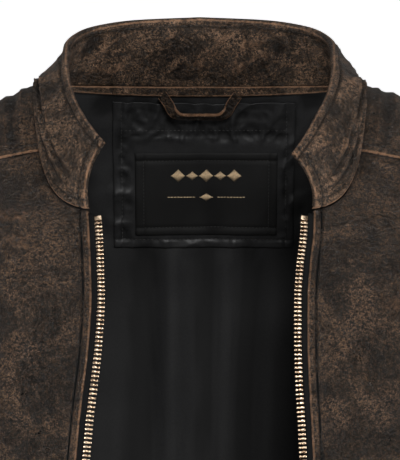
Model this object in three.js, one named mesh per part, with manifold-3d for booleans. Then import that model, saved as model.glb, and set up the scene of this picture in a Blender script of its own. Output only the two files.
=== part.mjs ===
// A leather riding jacket, as it hangs open on a wearer or a shaped hanger.
// Millimetres, +Z up. The wearer faces -Y, so the wearer's right is -X.
// Shapes are worked out in garment coordinates, whose origin is the high point of the shoulder,
// level with the shoulder ridge. The last lines move the whole jacket so that the hanger loop's
// hook face is the origin.
import * as THREE from "three";
import Module from "manifold-3d";
import { mergeVertices } from "three/addons/utils/BufferGeometryUtils.js";

const wasm = await Module();
wasm.setup();

// ---------- driving dimensions ----------
const LEATHER = 1.2; // thickness of the cow hide
const LINING = 0.5; // lining cloth
const TAPE = 0.6; // zip tape
const GAP = 0.3; // between neighbouring pieces
const HEM = -640; // height of the hem at the side
const ARMPIT = -255; // bottom of the armhole
const TIP = -50; // shoulder tip, the top of the armhole
const SHOULDER_TIP_HALF = 222; // half the width across the shoulders
const NECK_HALF = 102.5; // half width of the neck seam
const NECK_BACK = 66; // depth of the neck seam behind the shoulder ridge
const NECK_DROP = 71.5; // how much lower the neck seam is in front
const CHEST_HALF = 232; // half width at the armpit
const SLEEVE_LENGTH_DROP = 392; // cuff below the armpit
const CUFF_HALF = 38; // half width of the cuff
const BICEP_HALF = 53; // half width of the upper arm
const FACING_WIDTH = 34; // leather facing inside the front edge
const HEM_FACING = 40; // leather facing inside the hem
const PAD = 5; // armour pad thickness
const PAD_TOP = LEATHER + 0.8; // a pad's depth inside the face of the leather
const LINING_EASE = 2.5; // between a pad and the lining that hangs inside it
const LINING_LOOSE = PAD_TOP + PAD + LINING_EASE; // how far the lining hangs inside the leather

// Zip sizes: a number 5 metal zip in front, number 4 on the pockets and cuffs.
const FRONT_ZIP = { reveal: 3, chain: 4.6, thick: 2.4, plate: 1.1 };
const SMALL_ZIP = { chain: 4.4, thick: 2.0, plate: 0.9, slot: 1.1 };
const CLEAR = 0.4; // between a slider and the chain it rides
const STRAIGHT_FROM = -190; // below this height the front edges are straight
const POCKET_ZIP_LENGTH = 152;
const POCKET = { deg: 50, h: -485, slant: 12 };

const rad = (d) => (d * Math.PI) / 180;
const clamp = (x, lo, hi) => Math.min(hi, Math.max(lo, x));
const smooth = (a, b, x) => {
  const t = clamp((x - a) / (b - a), 0, 1);
  return t * t * (3 - 2 * t);
};
const V = (x, y, z) => new THREE.Vector3(x, y, z);
const SIDES = [["right", -1], ["left", 1]];
// The wearer's left is the mirror of the right: torso angles there count back from 360.
const onSide = (side, deg) => (side < 0 ? deg : 360 - deg);

// A smooth curve through [input, value] pairs that never overshoots them.
function curve(pairs) {
  const n = pairs.length;
  const step = pairs.slice(1).map((p, i) => (p[1] - pairs[i][1]) / (p[0] - pairs[i][0]));
  const slope = pairs.map((_, i) => {
    if (i === 0) return step[0];
    if (i === n - 1) return step[n - 2];
    return step[i - 1] * step[i] <= 0 ? 0 : (2 * step[i - 1] * step[i]) / (step[i - 1] + step[i]);
  });
  return (x) => {
    let i = 0;
    while (i < n - 2 && x > pairs[i + 1][0]) i++;
    const w = pairs[i + 1][0] - pairs[i][0];
    const t = clamp((x - pairs[i][0]) / w, 0, 1);
    const [t2, t3] = [t * t, t * t * t];
    return (
      pairs[i][1] * (2 * t3 - 3 * t2 + 1) +
      slope[i] * w * (t3 - 2 * t2 + t) +
      pairs[i + 1][1] * (3 * t2 - 2 * t3) +
      slope[i + 1] * w * (t3 - t2)
    );
  };
}

// ---------- the torso surface ----------
// Rings run round the body. A ring is named by its height at the side, and an angle runs from the
// centre front (0) over the wearer's right side (90) to the centre back (180) and on to the left.
const halfWidth = curve([
  [HEM, CHEST_HALF - 6], [-550, CHEST_HALF - 13], [-450, CHEST_HALF - 18],
  [-350, CHEST_HALF - 11], [ARMPIT, CHEST_HALF], [-150, CHEST_HALF + 6], [-100, CHEST_HALF + 3],
  [TIP, SHOULDER_TIP_HALF], [TIP / 2, (SHOULDER_TIP_HALF + NECK_HALF) / 2], [0, NECK_HALF],
]);
const backDepth = curve([
  [HEM, 112], [-550, 104], [-450, 98], [-350, 106], [ARMPIT, 114], [-150, 110],
  [-100, 102], [TIP, 88], [0, NECK_BACK],
]);
const squareness = curve([[HEM, 0.16], [ARMPIT, 0.2], [TIP, 0.2], [0, 0.3]]);
const frontDrop = curve([
  [ARMPIT, 0], [-150, 18], [-100, 32], [TIP, 50], [TIP / 2, 61], [0, NECK_DROP],
]);
const backDrop = curve([[-100, 0], [0, 7]]);

// The front edges, by height: how far each lies from the centre, and how far forward.
// Below STRAIGHT_FROM both are straight, so that the slider can run there.
const edgeHalf = {
  "-1": curve([
    [-190, 70], [-169, 67.4], [-148, 65], [-121, 63.5], [-100, 64.2], [-82, 65.4], [-69, 66.6],
  ]),
  1: curve([
    [-190, 64.6], [-169, 63.4], [-144, 62.7], [-121, 62.9], [-100, 64.6], [-82, 67], [-69, 67.6],
  ]),
};
const edgeFlare = { "-1": 0.09, 1: 0.05 };
const edgeDepth = curve([
  [-190, 137.5], [-169, 133], [-148, 127], [-121, 116], [-103, 106], [-82, 93], [-69, 84],
]);
const EDGE_LEAN = 0.01;

function edgeAt(side, z) {
  const top = Math.max(z, STRAIGHT_FROM);
  const below = top - z;
  return V(
    side * (edgeHalf[side](top) + below * edgeFlare[side]),
    -(edgeDepth(top) + below * EDGE_LEAN),
    z,
  );
}

const ringX = (deg, h) => {
  const [s, c] = [Math.sin(rad(deg)), Math.cos(rad(deg))];
  return halfWidth(h) * s * (1 + squareness(h) * c * c);
};
const ringZ = (deg, h) => {
  const [s, c] = [Math.sin(rad(deg)), Math.cos(rad(deg))];
  return c > 0 ? h - frontDrop(h) * (1 - s ** 7) : h - backDrop(h) * c * c;
};

// The angle at which a test that grows with the angle first reaches zero.
function solve(test, lo, hi) {
  for (let i = 0; i < 40; i++) {
    const mid = (lo + hi) / 2;
    if (test(mid) < 0) lo = mid;
    else hi = mid;
  }
  return (lo + hi) / 2;
}

const edgeCache = new Map();
// The front edge on a ring: its angle, and the front depth that carries the ring through it.
function frontOf(side, h) {
  const key = side + ":" + h.toFixed(4);
  if (!edgeCache.has(key)) {
    const deg = solve((d) => ringX(d, h) - Math.abs(edgeAt(side, ringZ(d, h)).x), 0, 80);
    const [s, c] = [Math.sin(rad(deg)), Math.cos(rad(deg))];
    const y = -edgeAt(side, ringZ(deg, h)).y;
    edgeCache.set(key, { deg, depth: y / (c * (1 + squareness(h) * s * s)) });
  }
  return edgeCache.get(key);
}

function torso(angle, h) {
  const side = angle < 180 ? -1 : 1;
  const deg = angle < 180 ? angle : 360 - angle;
  const [s, c] = [Math.sin(rad(deg)), Math.cos(rad(deg))];
  const depth = c > 0 ? frontOf(side, h).depth : backDepth(h);
  return V(side * ringX(deg, h), -depth * c * (1 + squareness(h) * s * s), ringZ(deg, h));
}

// A point on a surface with its outward normal, from a function of two inputs.
function withNormal(surface, a, b, da, db, flip = 1) {
  const p = surface(a, b);
  const alongA = surface(a + da, b).sub(surface(a - da, b));
  const alongB = surface(a, b + db).sub(surface(a, b - db));
  return { p, n: alongB.cross(alongA).multiplyScalar(flip).normalize() };
}
const torsoPoint = (angle, h) => {
  const hh = clamp(h, HEM + 0.6, -0.6);
  const q = withNormal(torso, angle, hh, 0.3, 0.5);
  q.p = torso(angle, h);
  return q;
};

// ---------- the armhole ----------
const ARMHOLE_STEPS = 16;
const armholeAngle = (i) => (i * 360) / ARMHOLE_STEPS;
const TIP_ANGLE = 72; // the armhole's top lies in front of the shoulder ridge
function armhole(phi) {
  const up = (1 + Math.cos(rad(phi))) / 2;
  const h = (ARMPIT + TIP) / 2 + ((TIP - ARMPIT) / 2) * Math.cos(rad(phi));
  return { deg: 90 - (90 - TIP_ANGLE) * up * up - 32 * Math.sin(rad(phi)), h };
}
const armholeRows = (from, to) =>
  Array.from({ length: to - from + 1 }, (_, i) => armhole(armholeAngle(from + i)));
const shoulderSeam = curve([[TIP, TIP_ANGLE], [0, 64]]); // its angle, by ring

// ---------- the sleeve surface ----------
// Seen along the arm, phi runs from the outside (0) over the front (90) to the inside (180).
// v is 0 at the armhole, 1 at the upper arm, 2 at the elbow, 3 at the forearm and 4 at the cuff.
const sleeveX = curve([[1, CHEST_HALF + 60], [2, CHEST_HALF + 79], [3, CHEST_HALF + 86], [4, CHEST_HALF + 88]]);
const sleeveY = curve([[1, -4], [2, -6], [3, -24], [4, -52]]);
const sleeveZ = curve([[1, ARMPIT - 8], [2, ARMPIT - 160], [3, ARMPIT - 285], [4, ARMPIT - SLEEVE_LENGTH_DROP]]);
const sleeveWide = curve([[1, BICEP_HALF], [2, 50], [3, 43], [4, CUFF_HALF]]);
const sleeveDeep = curve([[1, 70], [2, 64], [3, 55], [4, 47]]);
const armCentre = (v) => V(sleeveX(v), sleeveY(v), sleeveZ(v));
const armAxis = (v) =>
  armCentre(clamp(v + 0.25, 1, 4)).sub(armCentre(clamp(v - 0.25, 1, 4))).normalize();

function armRing(phi, v) {
  const axis = armAxis(v);
  const front = V(0, -1, 0).addScaledVector(axis, axis.y).normalize();
  const out = axis.clone().cross(front).normalize();
  if (out.x < 0) out.negate();
  return armCentre(v)
    .addScaledVector(out, sleeveWide(v) * Math.cos(rad(phi)))
    .addScaledVector(front, sleeveDeep(v) * Math.sin(rad(phi)));
}

const SLEEVE_START = 0.7; // the sleeve begins this far outside the armhole seam
function sleeveSurface(side, phi, v) {
  const ring = (w) => armRing(phi, w).multiply(V(side, 1, 1));
  if (v >= 1) return ring(v);
  const [s, c] = [Math.sin(rad(phi)), Math.cos(rad(phi))];
  const a = armhole(phi);
  const leave = V(side * (0.62 + 0.26 * c), -0.25 * s, -(0.68 - 0.2 * c)).normalize();
  const from = torso(onSide(side, a.deg), a.h).addScaledVector(leave, SLEEVE_START);
  const to = ring(1);
  const reach = from.distanceTo(to);
  const [t, t2, t3] = [v, v * v, v * v * v];
  return from
    .multiplyScalar(2 * t3 - 3 * t2 + 1)
    .addScaledVector(leave, reach * (t3 - 2 * t2 + t))
    .addScaledVector(to, 3 * t2 - 2 * t3)
    .addScaledVector(armAxis(1).multiply(V(side, 1, 1)), reach * (t3 - t2));
}
const sleevePoint = (side) => (phi, v) => {
  const q = withNormal((a, b) => sleeveSurface(side, a, b), phi, clamp(v, 0.02, 3.98), 0.5, 0.01, -side);
  q.p = sleeveSurface(side, phi, v);
  return q;
};

// ---------- solids from grids ----------
// A closed geometry from two equal grids of points, outside and inside.
function between(outer, inner, around = false) {
  const [rows, cols] = [outer.length, outer[0].length];
  const position = [...outer.flat(), ...inner.flat()].flatMap((p) => [p.x, p.y, p.z]);
  const out = (i, j) => i * cols + (j % cols);
  const ins = (i, j) => rows * cols + out(i, j);
  const index = [];
  const quad = (a, b, c, d) => index.push(a, b, c, a, c, d);
  const spans = around ? cols : cols - 1;
  for (let i = 0; i < rows - 1; i++)
    for (let j = 0; j < spans; j++) {
      quad(out(i, j), out(i, j + 1), out(i + 1, j + 1), out(i + 1, j));
      quad(ins(i, j), ins(i + 1, j), ins(i + 1, j + 1), ins(i, j + 1));
    }
  for (let j = 0; j < spans; j++) {
    quad(out(0, j), ins(0, j), ins(0, j + 1), out(0, j + 1));
    quad(out(rows - 1, j), out(rows - 1, j + 1), ins(rows - 1, j + 1), ins(rows - 1, j));
  }
  for (let i = 0; i < rows - 1 && !around; i++) {
    quad(out(i, 0), out(i + 1, 0), ins(i + 1, 0), ins(i, 0));
    quad(out(i, cols - 1), ins(i, cols - 1), ins(i + 1, cols - 1), out(i + 1, cols - 1));
  }
  const geometry = new THREE.BufferGeometry()
    .setAttribute("position", new THREE.Float32BufferAttribute(position, 3))
    .setIndex(index);
  if (volume(geometry) < 0) index.reverse();
  return geometry.setIndex(index);
}

function volume(geometry) {
  const [p, ix] = [geometry.getAttribute("position"), geometry.getIndex()];
  const at = (k) => V().fromBufferAttribute(p, ix.getX(k));
  let sum = 0;
  for (let k = 0; k < ix.count; k += 3) sum += at(k).dot(at(k + 1).cross(at(k + 2)));
  return sum / 6;
}

// Evenly spaced values, both ends included.
const even = (from, to, parts) =>
  Array.from({ length: parts + 1 }, (_, i) => from + ((to - from) * i) / parts);

// A grid of surface points. Each row gives its second input b and the list of first inputs.
const gridOf = (point, rows) => rows.map(({ b, at }) => at.map((a) => ({ a, b, ...point(a, b) })));

// Draws the rim of a grid back from its seams: first row, last row, first column, last column.
function seamGap(grid, low, high, left, right) {
  const pull = (from, to, by) => {
    from.p.addScaledVector(to.p.clone().sub(from.p).normalize(), by);
  };
  grid[0].forEach((q, j) => pull(q, grid[1][j], low));
  grid[grid.length - 1].forEach((q, j) => pull(q, grid[grid.length - 2][j], high));
  grid.forEach((row) => {
    pull(row[0], row[1], left);
    pull(row[row.length - 1], row[row.length - 2], right);
  });
  return grid;
}

// A sheet that follows a grid, from one depth under the surface to another.
// A depth is a number or a function of the grid's two inputs.
function sheet(grid, top, bottom, around = false) {
  const at = (q, depth) =>
    q.p.clone().addScaledVector(q.n, -(typeof depth === "function" ? depth(q.a, q.b) : depth));
  return between(
    grid.map((row) => row.map((q) => at(q, top))),
    grid.map((row) => row.map((q) => at(q, bottom))),
    around,
  );
}

// ---------- booleans ----------
function solidOf(geometry) {
  const bare = geometry.clone();
  ["normal", "uv"].forEach((name) => bare.deleteAttribute(name));
  const merged = mergeVertices(bare, 1e-4);
  return new wasm.Manifold(
    new wasm.Mesh({
      numProp: 3,
      vertProperties: new Float32Array(merged.attributes.position.array),
      triVerts: new Uint32Array(merged.index.array),
    }),
  );
}
function geometryOf(solid) {
  const mesh = solid.getMesh();
  return new THREE.BufferGeometry()
    .setAttribute("position", new THREE.BufferAttribute(mesh.vertProperties, 3))
    .setIndex(new THREE.BufferAttribute(mesh.triVerts, 1));
}
const union = (...list) => geometryOf(list.map(solidOf).reduce((a, b) => a.add(b)));
const cut = (from, ...tools) =>
  geometryOf(tools.map(solidOf).reduce((a, b) => a.subtract(b), solidOf(from)));

// ---------- materials and the group ----------
const finish = (color, roughness, metalness = 0) =>
  new THREE.MeshStandardMaterial({ color, roughness, metalness });
const MATERIAL = {
  leather: finish(0x3a2b22, 0.55),
  lining: finish(0x17181a, 0.7),
  label: finish(0x0d0d0e, 0.85),
  tape: finish(0x101010, 0.9),
  metal: finish(0xc9a477, 0.35, 1),
  pad: finish(0x2b2c30, 0.9),
  felt: finish(0x55504a, 0.95),
};
const garment = new THREE.Group();
function add(name, geometry, material) {
  const mesh = new THREE.Mesh(geometry, MATERIAL[material]);
  mesh.name = name;
  garment.add(mesh);
}
// ---------- leather body panels ----------
const TAPE_WIDTH = 12; // zip tape hidden behind the front edge
const belowArm = [HEM, -585, -530, -475, -420, -365, -310];
const aboveTip = [-34, -17, 0];

// The angle that lies so many millimetres behind the front edge, along the ring.
const behindEdge = (side, h, mm) =>
  frontOf(side, h).deg + ((mm / (halfWidth(h) * (1 + squareness(h)))) * 180) / Math.PI;

const frontRings = (outerAt) => [
  ...belowArm.map((h) => outerAt(h, 90)),
  ...armholeRows(0, ARMHOLE_STEPS / 2).reverse().map((a) => outerAt(a.h, a.deg)),
  ...aboveTip.map((h) => outerAt(h, shoulderSeam(h))),
];
const frontRow = (side) => (h, outer) => {
  const facing = behindEdge(side, h, FACING_WIDTH);
  const list = [frontOf(side, h).deg, behindEdge(side, h, TAPE_WIDTH), ...even(facing, outer, 6)];
  return { b: h, at: list.map((deg) => onSide(side, deg)) };
};
const backRings = [
  ...belowArm.map((h) => ({ h, deg: 90 })),
  ...armholeRows(ARMHOLE_STEPS / 2, ARMHOLE_STEPS),
  ...aboveTip.map((h) => ({ h, deg: shoulderSeam(h) })),
];
const BACK_SEAM = armhole(armholeAngle(13)).h; // the seam between the back and its yoke
const backRows = (low, high) =>
  backRings
    .filter(({ h }) => h > low - 0.01 && h < high + 0.01)
    .map(({ h, deg }) => ({ b: h, at: even(deg, 360 - deg, 20) }));

const seam = GAP / 2;
const frontPanels = SIDES.map(([, side]) =>
  sheet(seamGap(gridOf(torsoPoint, frontRings(frontRow(side))), 0, seam, 0, seam), 0, LEATHER),
);
const backGrid = gridOf(torsoPoint, backRows(HEM, BACK_SEAM));
add("back_panel", sheet(seamGap(backGrid, 0, seam, seam, seam), 0, LEATHER), "leather");
const yokeGrid = gridOf(torsoPoint, backRows(BACK_SEAM, 0));
add("back_yoke", sheet(seamGap(yokeGrid, seam, seam, seam, seam), 0, LEATHER), "leather");

// ---------- linings and facings ----------
const FACING_TOP = LEATHER + GAP + TAPE + GAP;
const FACING = 0.8;
const LINING_TOP = FACING_TOP + FACING + GAP;
const liningHem = HEM + HEM_FACING + 0.5;
// Depth of the torso lining: close to the leather along its rim, loose elsewhere.
function liningDepth(angle, h) {
  const deg = angle < 180 ? angle : 360 - angle;
  const side = angle < 180 ? -1 : 1;
  const inside = deg - behindEdge(side, h, FACING_WIDTH);
  const free = smooth(-8, -75, h) * smooth(liningHem, liningHem + 24, h) * smooth(0, 8, inside);
  return LINING_TOP + (LINING_LOOSE - LINING_TOP) * free;
}
const deeper = (by) => (a, b) => liningDepth(a, b) + by;
const liningSeam = 2.5; // the lining pieces stop this far from the side seams

const liningFoot = [liningHem, liningHem + 26, -500, -440, -350];
const backLining = [
  ...liningFoot.map((h) => ({ h, deg: 90 })),
  ...armholeRows(8, 16),
  ...[TIP / 2, 0].map((h) => ({ h, deg: shoulderSeam(h) })),
].map(({ h, deg }) => ({ b: h, at: even(deg, 360 - deg, 20) }));
add(
  "lining_back",
  sheet(seamGap(gridOf(torsoPoint, backLining), 0, 1, liningSeam, liningSeam), liningDepth, deeper(LINING)),
  "lining",
);

SIDES.forEach(([name, side]) => {
  const row = (h, outer) => ({
    b: h,
    at: even(behindEdge(side, h, FACING_WIDTH + 0.5), outer, 5).map((deg) => onSide(side, deg)),
  });
  const rows = [
    ...liningFoot.map((h) => row(h, 90)),
    ...armholeRows(0, 8).reverse().filter((_, i) => i % 2 === 0).map((a) => row(a.h, a.deg)),
    ...[TIP / 2, 0].map((h) => row(h, shoulderSeam(h))),
  ];
  const grid = seamGap(gridOf(torsoPoint, rows), 0, 1, 0, liningSeam);
  add("lining_front_" + name, sheet(grid, liningDepth, deeper(LINING)), "lining");
  // Leather facing behind the front edge, from the hem to the neck seam.
  const facingRow = (h) => ({
    b: h,
    at: [0, TAPE_WIDTH, FACING_WIDTH].map((mm) => onSide(side, behindEdge(side, h, mm))),
  });
  const facing = seamGap(gridOf(torsoPoint, frontRings(facingRow)), 0, seam, GAP, 0);
  add("front_facing_" + name, sheet(facing, FACING_TOP, FACING_TOP + FACING), "leather");
});

// Leather facing inside the hem, from one front facing round the back to the other.
const hemFacing = [HEM, HEM + HEM_FACING].map((h) => ({
  b: h,
  at: even(behindEdge(-1, h, FACING_WIDTH + 0.5), 360 - behindEdge(1, h, FACING_WIDTH + 0.5), 32),
}));
add("hem_facing", sheet(gridOf(torsoPoint, hemFacing), FACING_TOP, FACING_TOP + FACING), "leather");

// Back protector between the leather and the lining.
const backPad = [-365, -310, ARMPIT, -200, -155].map((b) => ({ b, at: even(153, 207, 6) }));
add("back_pad", sheet(gridOf(torsoPoint, backPad), PAD_TOP, PAD_TOP + PAD), "pad");

// ---------- sleeves ----------
const SEAM_ANGLE = 112.5; // the two sleeve seams lie this far round from the outside of the arm
const CUFF_SLIT = [3.06, 3.1]; // where the slit for the cuff zip starts, and where it is full width
const SLIT_HALF = 6.8; // half the slit's width, round the arm
const slitAt = (v) => {
  const radius = (sleeveWide(v) + sleeveDeep(v)) / 2;
  return v > CUFF_SLIT[0] + 0.01 ? ((SLIT_HALF / radius) * 180) / Math.PI : 0;
};
const sleeveV = [0, 0.12, 0.3, 0.55, 0.8, 1, 1.5, 2, 2.5, 3, ...CUFF_SLIT, 3.55, 4];
const CUFF_FACING_FROM = 3.63;
const sleeveLining = (phi, v) =>
  LINING_TOP + (LINING_LOOSE - LINING_TOP) * smooth(0, 0.3, v) * smooth(CUFF_FACING_FROM - 0.04, 3.1, v);

SIDES.forEach(([name, side]) => {
  const point = sleevePoint(side);
  const rows = (list, from, to, parts) =>
    gridOf(point, list.map((v) => ({ b: v, at: even(from(v), to(v), parts) })));
  const upper = rows(sleeveV, (v) => -SEAM_ANGLE + slitAt(v), () => SEAM_ANGLE, 10);
  const under = rows(sleeveV, () => SEAM_ANGLE, (v) => 360 - SEAM_ANGLE - slitAt(v), 6);
  add("sleeve_upper_" + name, sheet(seamGap(upper, 0, 0, seam, seam), 0, LEATHER), "leather");
  add("sleeve_under_" + name, sheet(seamGap(under, 0, 0, seam, seam), 0, LEATHER), "leather");
  const tube = rows(
    [0.05, 0.3, 0.6, 1, 1.5, 2, 2.5, 3, 3.4, CUFF_FACING_FROM - 0.004], () => 0, () => 345, 23,
  ).map((row) => row.filter((_, i) => i % 2 === 0));
  add(
    "lining_sleeve_" + name,
    sheet(tube, sleeveLining, (a, b) => sleeveLining(a, b) + LINING, true),
    "lining",
  );
  // Leather facing inside the cuff, open at the zip.
  const open = slitAt(4) + 5;
  const cuff = rows([CUFF_FACING_FROM, 4], () => -SEAM_ANGLE + open, () => 360 - SEAM_ANGLE - open, 15);
  add("cuff_facing_" + name, sheet(cuff, FACING_TOP, FACING_TOP + FACING), "leather");
  const shoulder = rows([0.3, 0.55, 0.8, 1], () => -45, () => 45, 4);
  add("shoulder_pad_" + name, sheet(shoulder, PAD_TOP, PAD_TOP + PAD), "pad");
  const elbow = rows([1.5, 2, 2.5], () => -67.5, () => 22.5, 4);
  add("elbow_pad_" + name, sheet(elbow, PAD_TOP, PAD_TOP + PAD), "pad");
});

// ---------- collar ----------
// The stand collar rises from the neck seam to its top edge. Its first input is the neck ring's
// angle, its second the fraction of the way up.
const CORE = 1.0; // stiff interlining between the two leaves
const collarFrom = (side) => frontOf(side, 0).deg;
const topCurve = (values) => {
  const at = [0, 0.086, 0.171, 0.257, 0.343, 0.43, 0.54, 0.68, 0.835, 1];
  return curve(values.map((value, i) => [at[i], value]));
};
const collarTop = {
  "-1": {
    x: topCurve([57.4, 64, 71, 76, 79.6, 82, 82.6, 74, 44, 0]),
    z: topCurve([-29.6, -22.7, -13.7, -5, 4.5, 14.5, 25, 33.6, 39, 40.8]),
  },
  1: {
    x: topCurve([54.8, 63.8, 70.6, 76, 79.8, 82, 82.6, 74, 44, 0]),
    z: topCurve([-36.6, -25, -14, -5, 4.5, 14.5, 25, 33.6, 39, 40.8]),
  },
};
const collarTopDepth = topCurve([-76, -68, -56, -42, -27, -10, 11, 36, 55, 62]);
function collarSurface(angle, up) {
  const side = angle < 180 ? -1 : 1;
  const deg = angle < 180 ? angle : 360 - angle;
  const t = clamp((deg - collarFrom(side)) / (180 - collarFrom(side)), 0, 1);
  const foot = torso(angle, 0);
  const top = V(side * collarTop[side].x(t), collarTopDepth(t), collarTop[side].z(t));
  // The leaf bows outwards between its seam and its edge, most at the front corner.
  const bow = 4 * up * (1 - up);
  const away = V(foot.x, foot.y, 0).normalize();
  return foot
    .lerp(top, up)
    .addScaledVector(away, 3 * bow)
    .add(V(side * 3.2 * bow * (1 - smooth(0, 0.12, t)), 0, 0));
}
const collarPoint = (angle, up) => {
  const q = withNormal(collarSurface, angle, clamp(up, 0.02, 0.98), 0.5, 0.02);
  q.p = collarSurface(angle, up);
  return q;
};
function collarLeaf(low, high, ends) {
  const half = (side) => even(collarFrom(side), 180, 16).map((deg) => onSide(side, deg));
  const at = [...half(-1), ...half(1).reverse().slice(1)];
  const rows = [low, 0.2, 0.4, 0.6, 0.8, high].map((b) => ({ b, at }));
  return seamGap(gridOf(collarPoint, rows), 0, 0, ends, ends);
}
const coreTop = LEATHER + 0.5;
const innerTop = coreTop + CORE + GAP;
add("collar_outer", sheet(collarLeaf(0.025, 1, 0), 0, LEATHER), "leather");
add("collar_interlining", sheet(collarLeaf(0.06, 0.94, 3), coreTop, coreTop + CORE), "felt");
add("collar_inner", sheet(collarLeaf(0.06, 1, 0), innerTop, innerTop + LEATHER), "leather");

// Binding strip that covers the neck seam inside, from one side of the neck to the other.
const BINDING = { from: 100, thick: 1.4, depth: innerTop + LEATHER + GAP + 0.1 };
function bindingPoint(angle, up) {
  const q = collarPoint(angle, Math.max(up, 0));
  q.p.z += Math.min(up, 0) * 48;
  return q;
}
const bindingRows = [-0.07, -0.01, 0.05].map((b) => ({ b, at: even(BINDING.from, 360 - BINDING.from, 20) }));
const binding = sheet(gridOf(bindingPoint, bindingRows), BINDING.depth, BINDING.depth + BINDING.thick);
add("neck_binding", binding, "leather");

// ---------- hanger loop, neck patch and label ----------
const LOOP = { half: 24, bottomHalf: 13, drop: 13, width: 6.4, thick: 1.5, top: -9.2 };
const loopY = NECK_BACK - BINDING.depth - BINDING.thick - 1.0;
const loopFace = LOOP.top - LOOP.drop; // height of the face that bears on a hook

// A flat strap: it hangs face on from the seam, turns at each corner and lies level in the middle.
function loopGeometry() {
  const stations = [
    [-LOOP.half, 0, 0], [-LOOP.half + 4, -LOOP.drop * 0.42, 0.05],
    [-LOOP.bottomHalf - 3, -LOOP.drop * 0.86, 0.45], [-LOOP.bottomHalf + 3, -LOOP.drop, 1],
    [LOOP.bottomHalf - 3, -LOOP.drop, 1], [LOOP.bottomHalf + 3, -LOOP.drop * 0.86, 0.45],
    [LOOP.half - 4, -LOOP.drop * 0.42, 0.05], [LOOP.half, 0, 0],
  ];
  const spots = stations.map(([x, z]) => V(x, loopY, LOOP.top + z));
  const sections = stations.map(([, , level], i) => {
    const along = spots[Math.min(i + 1, 7)].clone().sub(spots[Math.max(i - 1, 0)]).normalize();
    const up = along.clone().cross(V(0, 1, 0)).normalize(); // across the strap, in the hanging plane
    if (up.z < 0) up.negate();
    const turn = (level * Math.PI) / 2;
    const wide = up.clone().multiplyScalar(Math.cos(turn)).add(V(0, -Math.sin(turn), 0));
    const face = up.clone().multiplyScalar(Math.sin(turn)).add(V(0, Math.cos(turn), 0));
    const corner = (a, b) => spots[i].clone().addScaledVector(wide, a).addScaledVector(face, b);
    const [w, t] = [LOOP.width / 2, LOOP.thick];
    return [corner(-w, -t), corner(w, -t), corner(w, 0), corner(-w, 0)];
  });
  return through(sections);
}
// A closed solid through a list of closed sections with equal numbers of points.
function through(sections) {
  const n = sections[0].length;
  const position = sections.flat().flatMap((p) => [p.x, p.y, p.z]);
  const at = (i, j) => i * n + (j % n);
  const index = [];
  const last = sections.length - 1;
  for (let i = 0; i < last; i++)
    for (let j = 0; j < n; j++)
      index.push(at(i, j), at(i + 1, j), at(i + 1, j + 1), at(i, j), at(i + 1, j + 1), at(i, j + 1));
  for (let j = 1; j < n - 1; j++)
    index.push(at(0, 0), at(0, j), at(0, j + 1), at(last, 0), at(last, j + 1), at(last, j));
  const geometry = new THREE.BufferGeometry()
    .setAttribute("position", new THREE.Float32BufferAttribute(position, 3))
    .setIndex(index);
  if (volume(geometry) < 0) index.reverse();
  return geometry.setIndex(index);
}
add("hanger_loop", loopGeometry(), "leather");

// The angle on the back at which a ring lies at a given x.
function angleAt(x, h) {
  const deg = solve((d) => Math.abs(x) - ringX(d, h), 90, 180);
  return x < 0 ? deg : 360 - deg;
}
function backPatch({ x, h, thick }, top, columns, rows) {
  const list = even(h[0], h[1], rows).map((b) => ({ b, at: even(x[0], x[1], columns).map((v) => angleAt(v, b)) }));
  return sheet(gridOf(torsoPoint, list), deeper(top), deeper(top + thick));
}
const NECK_PATCH = { x: [-56, 61], h: [-107, -6], thick: 0.6 };
const LABEL = { x: [-42, 50], h: [-98, -39], thick: 0.9 };
const patchTop = LINING + 1.3;
add("neck_patch", backPatch(NECK_PATCH, patchTop, 8, 6), "lining");
add("label", backPatch(LABEL, patchTop + NECK_PATCH.thick + 0.4, 6, 3), "label");

// ---------- front zip ----------
const CHAIN = { low: HEM + 24, high: -8 }; // rings on which the teeth start and end
const tapeTop = LEATHER + GAP;
const chainMid = tapeTop + TAPE / 2;
const chainTop = chainMid - FRONT_ZIP.thick / 2;

// The straight lower part of a front zip: its direction, across it to +X, and outwards.
function zipLine(side) {
  const up = edgeAt(side, STRAIGHT_FROM).sub(edgeAt(side, HEM)).normalize();
  const near = torsoPoint(onSide(side, frontOf(side, -450).deg), -450).n;
  const across = up.clone().cross(near).normalize();
  return { up, across, out: across.clone().cross(up).normalize() };
}
// The front edge on a ring, with the direction towards the centre and outwards.
function edgeFrame(side, h, straight) {
  const deg = frontOf(side, h).deg;
  const { p, n } = torsoPoint(onSide(side, deg), h);
  const inward = torso(onSide(side, deg - 0.5), h).sub(torso(onSide(side, deg + 0.5), h)).normalize();
  if (straight) {
    const line = zipLine(side);
    const bend = smooth(STRAIGHT_FROM, STRAIGHT_FROM + 60, p.z);
    inward.multiplyScalar(bend).addScaledVector(line.across, -side * (1 - bend)).normalize();
    n.multiplyScalar(bend).addScaledVector(line.out, 1 - bend).normalize();
  }
  return { p, n, inward };
}
const ringsBetween = (low, high) => [
  low,
  ...frontRings((h) => h).filter((h) => h > low + 4 && h < high - 3),
  high,
];
function chainStrip(side, low, high) {
  const grid = ringsBetween(low, high).map((h) => {
    const { p, n, inward } = edgeFrame(side, h, true);
    return [FRONT_ZIP.reveal, FRONT_ZIP.reveal + FRONT_ZIP.chain].map((r) => ({
      p: p.clone().addScaledVector(inward, r),
      n,
    }));
  });
  return sheet(grid, chainTop, chainTop + FRONT_ZIP.thick);
}
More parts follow.
